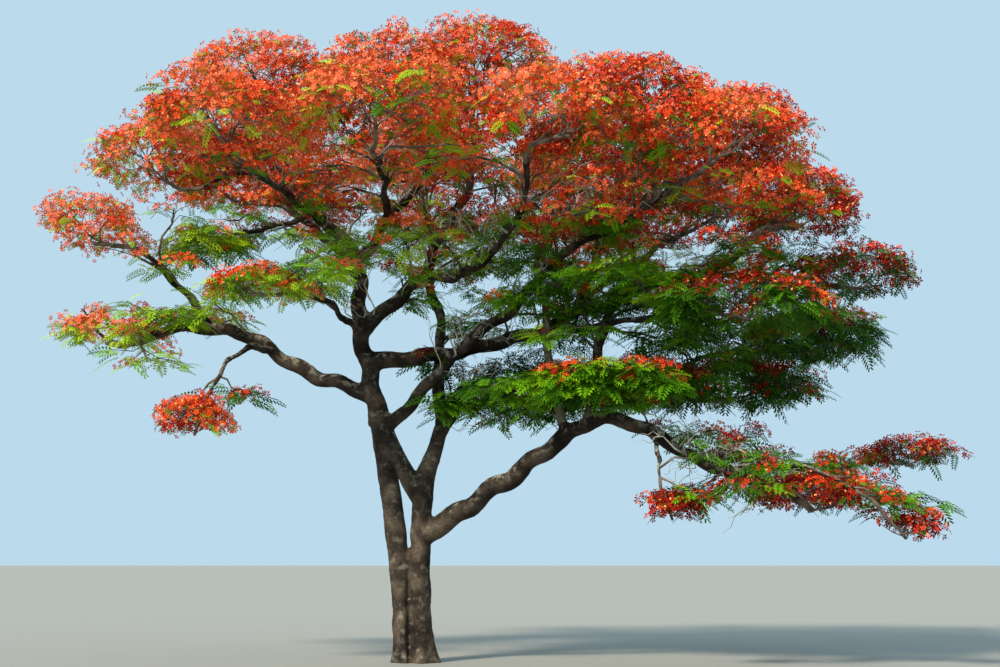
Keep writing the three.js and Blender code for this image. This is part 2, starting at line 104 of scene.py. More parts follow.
# How far a tube's closed foot stands out, in radii, how much a twig's bend keeps its owner's way, and
# the share of a twig or bough that counts as near its tip
FOOT_CAP, FOLLOW, NEAR_TIP = 0.3, 0.75, 0.97


class Slot(Enum):
    """The record's material slots."""

    BARK = "bark"
    FOLIAGE = "foliage"
    BLOSSOM = "blossom"


@dataclass(frozen=True)
class Stem:
    """One of the three stems that are fused into the trunk, in millimetres."""

    name: str
    radii: Pair
    foot: Point
    through: tuple[Point, ...]
    head: Point


@dataclass(frozen=True)
class Limb:
    """A bough and the mass of foliage that it carries, in millimetres."""

    name: str
    parent: str
    at: float
    radii: Pair
    through: tuple[Point, ...]
    tip: Point
    centre: Point
    reach: Point
    bloom: float


STEMS = (
    Stem("west_stem", (205, 182), (-110, 60, -250), ((-355, 90, 2115),), (-720, 120, 4480)),
    Stem("east_stem", (205, 185), (130, 0, -250), ((70, 0, 1600),), (150, 0, 3450)),
    Stem("crossing_stem", (170, 160), (140, -30, 2900), ((-280, -45, 3610),), (-660, 60, 4380)),
)

LIMBS = (
    Limb("top_left", "west_stem", 0.985, (178, 78),
         ((-1030, 200, 6200), (-1430, 300, 7750), (-2600, 400, 9150)), (-3050, 500, 10150),
         (-2900, -300, 10850), (1900, 1950, 1150), 0.8),
    Limb("top_middle_left", "top_left", 0.49, (108, 60),
         ((-800, 200, 8050), (-300, 100, 8700), (150, -100, 9200)), (150, -300, 9950),
         (-350, -900, 10800), (1750, 1850, 1150), 0.8),
    Limb("left_shoulder", "top_left", 0.8, (84, 50),
         ((-3450, 400, 9350),), (-4200, 400, 9050),
         (-5000, 300, 9550), (1600, 1950, 1050), 0.75),
    Limb("left_layer", "top_left", 0.69, (64, 44),
         ((-2650, 550, 8350),), (-3500, 900, 8250), (-4250, 1000, 8050), (1250, 1350, 560), 0.2),
    Limb("low_left", "top_left", 0.08, (150, 95),
         ((-1950, 500, 5400), (-3050, 700, 5950), (-4200, 900, 6400)), (-5400, 1100, 6150),
         (-6250, 1500, 6400), (1350, 1500, 700), 0.6),
    Limb("left_rim", "low_left", 0.72, (88, 58),
         ((-4700, 650, 7150),), (-5200, 350, 7650),
         (-6150, -100, 8150), (1250, 1700, 950), 0.8),
    Limb("left_hanging", "low_left", 0.45, (70, 40),
         ((-3350, -150, 5750),), (-3700, -1000, 4950), (-3900, -1450, 4350), (950, 1050, 750), 0.7),
    Limb("front_left_layer", "top_left", 0.24, (76, 44),
         ((-1450, -900, 6450),), (-1900, -2100, 6500), (-2700, -3000, 6550), (1300, 1300, 520), 0.5),
    Limb("top_middle", "top_left", 0.28, (138, 62),
         ((-150, 250, 7100), (450, 350, 8050), (900, 400, 9000)), (1000, 500, 10300),
         (1150, 600, 11500), (1850, 1950, 1200), 0.8),
    Limb("front_middle_right", "top_middle", 0.33, (88, 50),
         ((800, -450, 7150), (1350, -1300, 7350), (1900, -2350, 7950)), (2000, -3100, 8650),
         (2700, -4150, 9200), (1850, 2000, 1000), 0.8),
    Limb("top_middle_right", "top_left", 0.19, (158, 70),
         ((950, 150, 5800), (2600, 150, 6350), (3450, 150, 7700)), (3900, 300, 9350),
         (4150, -300, 10550), (1800, 1950, 1150), 0.8),
    Limb("front_right", "west_stem", 0.955, (128, 66),
         ((950, -350, 5800), (2150, -600, 7000), (3350, -1500, 7700)), (4400, -2900, 8150),
         (5150, -3850, 8850), (1850, 2000, 1000), 0.8),
    Limb("right_layer", "top_middle_right", 0.49, (72, 44),
         ((3500, -850, 6150),), (4750, -1900, 6250), (5900, -2500, 6300), (1850, 1650, 850), 0.35),
    Limb("top_right", "top_middle_right", 0.75, (76, 50),
         ((4400, 300, 8550),), (5300, 500, 9300),
         (5950, 500, 10150), (1600, 1950, 1150), 0.8),
    Limb("right_inner", "east_stem", 0.985, (150, 64),
         ((800, 100, 4900), (1750, 300, 4950), (3200, 650, 4800)), (4600, 900, 4950),
         (6000, 800, 5200), (1900, 1600, 850), 0.25),
    Limb("back_middle_left", "right_inner", 0.16, (112, 60),
         ((300, 900, 6900),), (-100, 2900, 9600), (-200, 3900, 10600), (1900, 2050, 1150), 0.75),
    Limb("low_right", "east_stem", 0.7, (195, 84),
         ((1750, -350, 3400), (3200, -700, 4350), (4800, -1100, 3850)), (6300, -1500, 3200),
         (7000, -1900, 2950), (1300, 1200, 620), 0.75),
    Limb("back_middle_right", "low_right", 0.45, (82, 50),
         ((2400, -300, 6000), (2350, 300, 7500), (2600, 1900, 8500)), (2950, 2900, 9500),
         (3400, 3950, 10550), (1900, 2050, 1150), 0.75),
    Limb("right_shoulder", "low_right", 0.52, (112, 60),
         ((3400, -600, 5800), (4150, -650, 6850), (5500, -750, 7200)), (6250, -800, 7800),
         (7100, -600, 8400), (1500, 1850, 1100), 0.75),
    Limb("right_rim", "right_shoulder", 0.68, (62, 40),
         ((6200, -900, 7100),), (7100, -1000, 7000), (8100, -1000, 7100), (1350, 1600, 880), 0.5),
    Limb("low_right_end", "low_right", 0.9, (60, 40),
         ((6700, -2000, 3500),), (7650, -2500, 3050), (8500, -2400, 2450), (900, 950, 600), 0.9),
    Limb("low_right_hanging", "low_right", 0.68, (50, 34),
         ((4350, -1550, 3800),), (4350, -2000, 3300), (4500, -2500, 2750), (720, 820, 560), 0.9),
    Limb("far_right", "low_right", 0.84, (66, 40),
         ((7100, -500, 3500),), (8500, 300, 3700), (9450, 600, 3850), (1150, 1250, 550), 0.6),
    Limb("centre_layer", "right_inner", 0.36, (62, 40),
         ((1850, -250, 5050),), (2350, -800, 5050), (3500, -1500, 5050), (1600, 1450, 650), 0.15),
    Limb("right_back_layer", "right_inner", 0.75, (62, 40),
         ((5200, 1500, 5700),), (7000, 2300, 6100), (8000, 2500, 6400), (1650, 1700, 950), 0.3),
    Limb("back_left", "top_left", 0.5, (92, 50),
         ((-2250, 1500, 8500),), (-2900, 2700, 9150), (-3800, 3700, 9900), (1900, 2050, 1100), 0.75),
    Limb("front_left", "top_left", 0.62, (82, 50),
         ((-2500, -1400, 8600),), (-2700, -2900, 8550),
         (-3050, -3900, 9150), (1800, 2000, 1000), 0.75),
    Limb("front_middle", "top_middle_left", 0.35, (72, 45),
         ((-550, -1700, 8750),), (-600, -3100, 8750),
         (-500, -4200, 9350), (1800, 2000, 1000), 0.75),
    Limb("back_right", "top_middle_right", 0.6, (76, 45),
         ((4500, 1900, 7950),), (5800, 3000, 8850), (6800, 3800, 9650), (1850, 2050, 1100), 0.75),
)


# The share of a bough's length that carries no leafy twigs, where it isn't the usual one
BARE_SHARES = {
    "low_right": 0.66, "low_left": 0.5, "top_left": 0.25, "top_middle_right": 0.2, "front_right": 0.2,
    "top_middle": 0.03, "right_inner": 0.14, "centre_layer": 0.1, "top_middle_left": 0.35,
    "right_layer": 0.12, "left_hanging": 0.8, "low_right_hanging": 0.8, "low_right_end": 0.5,
}


def unit(vectors: Array) -> Array:
    """Vectors over their lengths, along the last axis."""
    return vectors / np.maximum(np.linalg.norm(vectors, axis=-1, keepdims=True), 1e-9)


def spokes(count: int) -> Array:
    """Angles at even steps round a circle."""
    return TURN * np.arange(count) / count


def around(turn: Array, ring: Array | float, height: Array | float) -> Array:
    """Points (ring cos turn, ring sin turn, height) about the upright axis, one to a row."""
    return np.stack([np.cos(turn) * ring, np.sin(turn) * ring, np.broadcast_to(height, turn.shape)], axis=1)


def metres(values: tuple | list) -> Array:
    """Sizes or places in millimetres as an array in metres."""
    return np.array(values) * MM


def tapered(radii: Pair, share: Array) -> Array:
    """A limb's radius in metres at shares of its length, from those of its foot and tip in millimetres."""
    return (radii[0] + (radii[1] - radii[0]) * share) * MM


def noise_at(places: Array, size: float) -> Array:
    """Smooth noise from -1 to 1.

    Each corner of a lattice holds the fraction of sin(127.1 i + 311.7 j + 74.7 k) times 43758.5453,
    and a place between takes their mean, weighted by 3f² - 2f³ along each axis.

    Args:
        places: Points, one to a row.
        size: The lattice's step in metres.

    Returns:
        One value to a row.
    """
    cell = places / size
    low = np.floor(cell)
    ease = (cell - low) ** 2 * (3 - 2 * (cell - low))
    total = np.zeros(len(places))
    for corner in product((0, 1), repeat=3):
        weight = np.prod(np.where(np.array(corner) == 1, ease, 1 - ease), axis=1)
        value = np.sin((low + corner) @ LATTICE_TURNS) * LATTICE_SPREAD
        total += weight * (2 * (value - np.floor(value)) - 1)
    return total


class Draws:
    """Seeded numbers by a linear congruence, the same as the solids' own."""

    def __init__(self, seed: int) -> None:
        """Starts from a seed."""
        self.state = seed

    def next(self) -> float:
        """The next number from 0 to 1."""
        self.state = (self.state * DRAW_FACTOR + DRAW_STEP) % DRAW_SPAN
        return self.state / DRAW_SPAN

    def between(self, low: float, high: float) -> float:
        """The next number, between two others."""
        return low + (high - low) * self.next()

    def many(self, count: int, low: float = 0.0, high: float = 1.0) -> Array:
        """An array of the next numbers."""
        return low + (high - low) * np.array([self.next() for _ in range(count)])

    def angle(self) -> float:
        """An angle from the next number."""
        return self.between(0, TURN)

    def angles(self, count: int) -> Array:
        """An array of angles from the next numbers."""
        return self.many(count, 0, TURN)


class LimbLine:
    """The centreline of a stem or bough, by the same formula as in the solids.

    P(t) = foot + span t + bow sin πt + sway sin 2πt + kink sin 3πt, with a crook across it.
    """

    def __init__(self, foot: Array, tip: Array, through: Array, crook: float, phase: float) -> None:
        """Sizes the arcs so that the line goes through one or three points.

        Args:
            foot: Where it starts.
            tip: Where it ends.
            through: One point halfway, or three at the quarters.
            crook: How far it wanders, as a share of its span.
            phase: Where in its wandering it starts.
        """
        self.foot, self.span = foot, tip - foot
        count = len(through)
        stray = [p - foot - self.span * (i + 1) / (count + 1) for i, p in enumerate(through)]
        half = stray[1] if count == 3 else stray[0]
        quarter, late = (stray[0], stray[2]) if count == 3 else (half * math.sqrt(0.5),) * 2
        both = (quarter + late) * math.sqrt(0.5)
        self.bow, self.sway, self.kink = (both + half) / 2, (quarter - late) / 2, (both - half) / 2
        self.wander, self.phase = crook * np.linalg.norm(self.span), phase
        self.side = unit(np.cross(self.span, UP))
        self.lift = unit(np.cross(self.side, self.span))
        self.ticks = np.linspace(0, 1, LINE_TICKS)
        steps = np.linalg.norm(np.diff(self.at(self.ticks), axis=0), axis=1)
        self.miles = np.concatenate(([0], np.cumsum(steps)))
        self.length = float(self.miles[-1])

    def at(self, t: Array) -> Array:
        """Points at the formula's own t, one to a row."""
        t = np.atleast_1d(t)[:, None]
        arc = np.sin(np.pi * t)
        return (
            self.foot + self.span * t + self.bow * arc
            + self.sway * np.sin(2 * np.pi * t) + self.kink * np.sin(3 * np.pi * t)
            + self.side * arc * self.wander * np.sin(5 * np.pi * t + self.phase)
            + self.lift * arc * self.wander * np.cos(4 * np.pi * t + 2 * self.phase)
        )

    def even(self, share: Array) -> Array:
        """Points at shares of the line's length."""
        return self.at(np.interp(np.atleast_1d(share) * self.length, self.miles, self.ticks))

    def heading(self, share: Array) -> Array:
        """Unit tangents at shares of the line's length."""
        share, step = np.atleast_1d(share), 1e-3
        return unit(self.even(np.minimum(share + step, 1)) - self.even(np.maximum(share - step, 0)))


@dataclass
class Shell:
    """Faces on shared vertices. A face has three or four corners, and -1 for no fourth corner."""

    places: Array
    faces: Array
    tones: Array

    @staticmethod
    def joined(shells: list["Shell"]) -> "Shell":
        """All the shells as one, their faces renumbered."""
        starts = np.cumsum([0] + [len(s.places) for s in shells[:-1]])
        faces = [np.where(s.faces >= 0, s.faces + start, -1) for s, start in zip(shells, starts)]
        places, tones = [s.places for s in shells], [s.tones for s in shells]
        return Shell(np.concatenate(places), np.concatenate(faces), np.concatenate(tones))

    def piece(self, name: str, finishes: list[bpy.types.Material], smooth: bool) -> bpy.types.Object:
        """Puts the shell into a new object at the origin.

        Args:
            name: The object's name.
            finishes: Its materials, one to each tone.
            smooth: Whether its faces are shaded as one curved surface.

        Returns:
            The object, linked to the scene.
        """
        mesh = bpy.data.meshes.new(name)
        used = self.faces >= 0
        counts = used.sum(axis=1)
        mesh.vertices.add(len(self.places))
        mesh.vertices.foreach_set("co", self.places.astype(np.float32).ravel())
        mesh.loops.add(int(counts.sum()))
        mesh.loops.foreach_set("vertex_index", self.faces[used].astype(np.int32))
        mesh.polygons.add(len(counts))
        starts = np.concatenate(([0], np.cumsum(counts)[:-1]))
        mesh.polygons.foreach_set("loop_start", starts.astype(np.int32))
        mesh.update(calc_edges=True)
        mesh.polygons.foreach_set("material_index", self.tones.astype(np.int32))
        mesh.polygons.foreach_set("use_smooth", np.full(len(counts), smooth))
        for finish in finishes:
            mesh.materials.append(finish)
        mesh.update()
        return linked(name, mesh)


def tubes(paths: Array, radii: Array, sides: int) -> Shell:
    """Round tubes along many paths at once, each closed to a point at both ends.

    A corner is path + radius (side cos a + face sin a), with a its share of a turn. side is square
    to the path's heading and to the axis that the tube runs along least.

    Args:
        paths: Points of shape (tubes, rings, 3).
        radii: Radii of shape (tubes, rings), or (tubes, rings, sides).
        sides: Corners in each ring.

    Returns:
        The closed tubes.
    """
    many, rings = paths.shape[:2]
    headings = unit(np.gradient(paths, axis=1))
    least = np.eye(3)[np.abs(paths[:, -1] - paths[:, 0]).argmin(axis=1)]
    side = unit(np.cross(headings, least[:, None]))[:, :, None]
    face = np.cross(headings[:, :, None], side)
    turns = spokes(sides)[:, None]
    thick = radii if radii.ndim == 3 else np.repeat(radii[:, :, None], sides, axis=2)
    wall = paths[:, :, None] + thick[..., None] * (side * np.cos(turns) + face * np.sin(turns))
    feet = paths[:, 0] - headings[:, 0] * thick[:, 0].mean(axis=1)[:, None] * FOOT_CAP
    tips = paths[:, -1] + headings[:, -1] * thick[:, -1].mean(axis=1)[:, None]
    places = np.concatenate([wall.reshape(many, -1, 3), feet[:, None], tips[:, None]], axis=1)

    grid = np.arange(rings * sides).reshape(rings, sides)
    turned = np.roll(grid, -1, axis=1)
    none = np.full(sides, -1)
    foot, tip = np.full(sides, rings * sides), np.full(sides, rings * sides + 1)
    faces = np.concatenate([
        np.stack([grid[:-1], turned[:-1], turned[1:], grid[1:]], axis=-1).reshape(-1, 4),
        np.stack([foot, turned[0], grid[0], none], axis=-1),
        np.stack([grid[-1], turned[-1], tip, none], axis=-1),
    ])
    start = (np.arange(many) * places.shape[1])[:, None, None]
    every = np.where(faces >= 0, faces + start, -1).reshape(-1, 4)
    return Shell(places.reshape(-1, 3), every, np.zeros(len(every)))


def scattered(template: Array, starts: Array, sizes: Array, axes: tuple[Array, Array, Array],
              tones: Array, droop: float = 0.0) -> Shell:
    """Many copies of a small template of unit size, each turned its own way.

    A corner (x, y, z) goes to start + size (x a + y b + z c), and down by size · droop · x².

    Args:
        template: The template's faces, as (faces, 4, 3).
        starts: Where each copy stands.
        sizes: The size of each.
        axes: The unit vectors a, b and c of each.
        tones: The material index of each, or of each face of each.
        droop: How far a copy's far end hangs, as a share of its size.

    Returns:
        The copies' faces.
    """
    x, y, z = (template.reshape(-1, 3)[:, k, None] for k in range(3))
    a, b, c = (axis[:, None] for axis in axes)
    places = starts[:, None] + (a * x + b * y + c * z - UP * (droop * x**2)) * sizes[:, None, None]
    faces = np.arange(places.size // 3).reshape(-1, 4)
    every = np.broadcast_to(tones.reshape(len(starts), -1), (len(starts), len(template)))
    return Shell(places.reshape(-1, 3), faces, every.ravel())


def linked(name: str, data: bpy.types.ID) -> bpy.types.Object:
    """A new object at the origin, linked to the scene."""
    item = bpy.data.objects.new(name, data)
    bpy.context.collection.objects.link(item)
    return item


def kept(item: bpy.types.Object, nodes: list[str]) -> bpy.types.Object:
    """Rides a piece on the tree and hides the nodes that it replaces."""
    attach(item, "root")
    if nodes:
        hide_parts(*nodes)
    return item


def read(parts: bpy.types.bpy_prop_collection, name: str, width: int = 3, kind: type = np.float32) -> Array:
    """A property of a mesh's vertices, edges or faces, as an array with a row to each."""
    values = np.empty(len(parts) * width, kind)
    parts.foreach_get(name, values)
    return values.reshape(-1, width)


def linear(code: str) -> tuple[float, float, float, float]:
    """An sRGB hex value as linear colour."""
    parts = [int(code[i : i + 2], 16) / 255 for i in (1, 3, 5)]
    return (*[c / 12.92 if c <= 0.04045 else ((c + 0.055) / 1.055) ** 2.4 for c in parts], 1.0)


def per_metre(millimetres: float) -> float:
    """A texture's scale for features of this size."""
    return 1 / (millimetres * MM)


def set_up(node: bpy.types.Node, settings: dict | None = None, links: dict | None = None) -> bpy.types.Node:
    """Sets a node's values and feeds its sockets.

    Args:
        node: The node.
        settings: Values by the name of an attribute, or of a socket where no attribute has it.
        links: What feeds each input socket, by the socket's name or number: an output socket, or a
            node whose first output is meant.

    Returns:
        The same node.
    """
    for name, value in (settings or {}).items():
        if isinstance(name, str) and hasattr(node, name):
            setattr(node, name, value)
        else:
            node.inputs[name].default_value = value
    for name, source in (links or {}).items():
        socket = source.outputs[0] if isinstance(source, bpy.types.Node) else source
        node.id_data.links.new(socket, node.inputs[name])
    return node


def add(
    material: bpy.types.Material, kind: str, settings: dict | None = None, links: dict | None = None
) -> bpy.types.Node:
    """Adds a shader node of some kind to a material, with its settings and links."""
    return set_up(material.node_tree.nodes.new("ShaderNode" + kind), settings, links)


def blank(name: str) -> tuple[bpy.types.Material, bpy.types.Node]:
    """A new material and its Principled shader."""
    material = bpy.data.materials.new(name)
    material.use_nodes = True
    return material, material.node_tree.nodes["Principled BSDF"]


@dataclass(frozen=True)
class BarkFinish:
    """Weathered bark: grey-brown and matt, mottled in hand-sized patches, finely wrinkled across the
    limb with painted shade in its creases, and blotched with pale lichen that shows only on the sides
    that face the sky, which is painted light on the tops of the limbs."""

    name: str = "weathered_bark"
    deep: str = "#1b1510"
    wood: str = "#3a3028"
    pale: str = "#66594a"
    lichen: str = "#a69e8a"
    lichen_cover: float = 0.45
    patch_mm: float = 420
    lichen_mm: float = 150
    wrinkle_mm: float = 26
    grit_mm: float = 9
    stops: Point = (0.32, 0.48, 0.66)
    across: Point = (0.45, 0.45, 1.9)
    crease_shade: float = 0.62
    crust_edge: Pair = (0.62, 0.66)
    edge_drop: float = 0.2
    roughness: Pair = (0.82, 0.98)
    grit_share: float = 0.35
    bump_metres: float = 0.012

    def material(self) -> bpy.types.Material:
        """Builds the material."""
        material, shader = blank(self.name)
        place = add(material, "TexCoord").outputs["Object"]
        patches = add(material, "TexNoise", {"Scale": per_metre(self.patch_mm), "Detail": 5.0},
                      {"Vector": place})
        ground = add(material, "ValToRGB", None, {0: patches})
        deep, pale = ground.color_ramp.elements
        deep.position, deep.color = self.stops[0], linear(self.deep)
        pale.position, pale.color = self.stops[2], linear(self.pale)
        ground.color_ramp.elements.new(self.stops[1]).color = linear(self.wood)

        flat = add(material, "Mapping", {"Scale": self.across}, {"Vector": place})
        wrinkles = add(material, "TexNoise",
                       {"Scale": per_metre(self.wrinkle_mm), "Detail": 3.0, "Roughness": 0.6},
                       {"Vector": flat})
        grit = add(material, "TexNoise", {"Scale": per_metre(self.grit_mm), "Detail": 2.0},
                   {"Vector": place})
        # Painted shade: the bark's colour darkens in the wrinkles' creases, down to crease_shade
        creases = add(material, "MapRange",
                      {"From Min": 0.36, "From Max": 0.56, "To Min": self.crease_shade, "To Max": 1.0},
                      {"Value": wrinkles})
        crease_shaded = add(material, "Mix", {"data_type": "RGBA", "blend_type": "MULTIPLY", 0: 1.0},
                      {6: ground, 7: creases})

        # Real lichen blots, with painted light: they show only on faces that look up, so the tops of limbs
        # are paler
        normal = add(material, "NewGeometry").outputs["Normal"]
        height = add(material, "SeparateXYZ", None, {0: normal}).outputs["Z"]
        skyward_light = add(material, "MapRange", {"From Min": -0.25, "From Max": 0.75},
                      {"Value": height})
        blots = add(material, "TexNoise",
                    {"Scale": per_metre(self.lichen_mm), "Detail": 6.0, "Roughness": 0.62},
                    {"Vector": place})
        edge, full = self.crust_edge
        crust = add(material, "MapRange",
                    {"From Min": edge - self.edge_drop * self.lichen_cover, "From Max": full},
                    {"Value": blots})
        cover = add(material, "Math", {"operation": "MULTIPLY"}, {0: skyward_light, 1: crust})
        coat = add(material, "Mix", {"data_type": "RGBA", 7: linear(self.lichen)},
                   {0: cover, 6: crease_shaded.outputs[2]})

        low, high = self.roughness
        rough = add(material, "MapRange", {"To Min": low, "To Max": high}, {"Value": patches})
        relief = add(material, "Math", {"operation": "MULTIPLY_ADD", 1: self.grit_share},
                     {0: grit, 2: wrinkles})
        bump = add(material, "Bump", {"Strength": 0.9, "Distance": self.bump_metres},
                   {"Height": relief})
        set_up(shader, {"Specular IOR Level": 0.25},
               {"Base Color": coat.outputs[2], "Roughness": rough, "Normal": bump})
        return material


class BarkTone(IntEnum):
    """The bark of the trunk; a darker copy for most boughs, as painted shade; and a paler copy for the
    bough that stands in the sun, as painted light.
    """

    WEATHERED = 0
    SHADED = 1
    PALE = 2


# Painted light and shade: the second finish is a darker copy for the boughs in the crown's shade, and the
# third a paler copy for the bough that stands in the sun
BARK_FINISHES = (
    BarkFinish(),
    BarkFinish("shaded_bark", "#150f0c", "#2f251e", "#594c40", "#b3ab98", 0.7),
    BarkFinish("pale_bark", "#4a4339", "#7b7263", "#9a907e", lichen_cover=0.8),
)


@dataclass(frozen=True)
class TwigFinish:
    """Young bark: smooth, dull and paler than the limbs, mottled with darker patches."""

    name: str = "young_bark"
    dark: str = "#43382e"
    light: str = "#84766a"
    patch_mm: float = 220
    stops: Pair = (0.35, 0.65)
    roughness: Pair = (0.7, 0.95)

    def material(self) -> bpy.types.Material:
        """Builds the material."""
        material, shader = blank(self.name)
        place = add(material, "TexCoord").outputs["Object"]
        patches = add(material, "TexNoise", {"Scale": per_metre(self.patch_mm), "Detail": 4.0},
                      {"Vector": place})
        ground = add(material, "ValToRGB", None, {0: patches})
        dark, light = ground.color_ramp.elements
        dark.position, dark.color = self.stops[0], linear(self.dark)
        light.position, light.color = self.stops[1], linear(self.light)
        low, high = self.roughness
        rough = add(material, "MapRange", {"To Min": low, "To Max": high}, {"Value": patches})
        set_up(shader, {"Specular IOR Level": 0.3}, {"Base Color": ground, "Roughness": rough})
        return material


@dataclass(frozen=True)
class BladeFinish:
    """A leaf or petal of one plain colour, with a soft bloom of light at grazing angles and a sheen
    that changes from spray to spray."""

    name: str
    colour: str
    sheen: float = 0.02
    smooth: float = 0.5
    matt: float = 0.75
    spray_mm: float = 600

    def material(self) -> bpy.types.Material:
        """Builds the material."""
        material, shader = blank(self.name)
        place = add(material, "TexCoord").outputs["Object"]
        sprays = add(material, "TexNoise", {"Scale": per_metre(self.spray_mm), "Detail": 1.0},
                     {"Vector": place})
        rough = add(material, "MapRange",
                    {"From Min": 0.3, "From Max": 0.7, "To Min": self.smooth, "To Max": self.matt},
                    {"Value": sprays})
        colour = linear(self.colour)
        set_up(shader, {"Base Color": colour, "Sheen Weight": self.sheen, "Sheen Tint": colour,
                        "Specular IOR Level": 0.12}, {"Roughness": rough})
        return material


class LeafTone(IntEnum):
    """The greens of a spray: lit and shaded copies of one leaf green, from painted deep shade to
    painted sunlight.
    """

    SHADE = 0
    DEEP = 1
    FULL = 2
    LIGHT = 3
    NEW = 4


# Painted light and shade: five copies of one leaf green, dealt by each leaf's painted lightness from the
# crown's shade to the sun, with some random tone
LEAF_FINISHES = (
    BladeFinish("leaf_in_shade", "#35600a"),
    BladeFinish("leaf_deep_green", "#4c820b"),
    BladeFinish("leaf_full_green", "#6ba30f"),
    BladeFinish("leaf_light_green", "#88b216"),
    BladeFinish("leaf_new_growth", "#a6c62a"),
)


class PetalTone(IntEnum):
    """The reds of a cluster: lit and shaded copies of one red, from painted shade to painted
    highlight, and the streaked petal's own colour.
    """

    OLD = 0
    DEEP = 1
    FLAME = 2
    ORANGE = 3
    LIGHT = 4
    STREAKED = 5


# Painted light and shade: the first five reds are copies of one red, the darkest for clusters in shade and
# the lightest for painted highlights
PETAL_FINISHES = (
    BladeFinish("petal_old_red", "#861106", 0.08),
    BladeFinish("petal_deep_red", "#c2260e", 0.08),
    BladeFinish("petal_flame_red", "#dd4015", 0.08),
    BladeFinish("petal_orange_red", "#ea5422", 0.08),
    BladeFinish("petal_light_orange", "#ee6d43", 0.08),
    BladeFinish("petal_streaked_yellow", "#f2a765", 0.1),
)


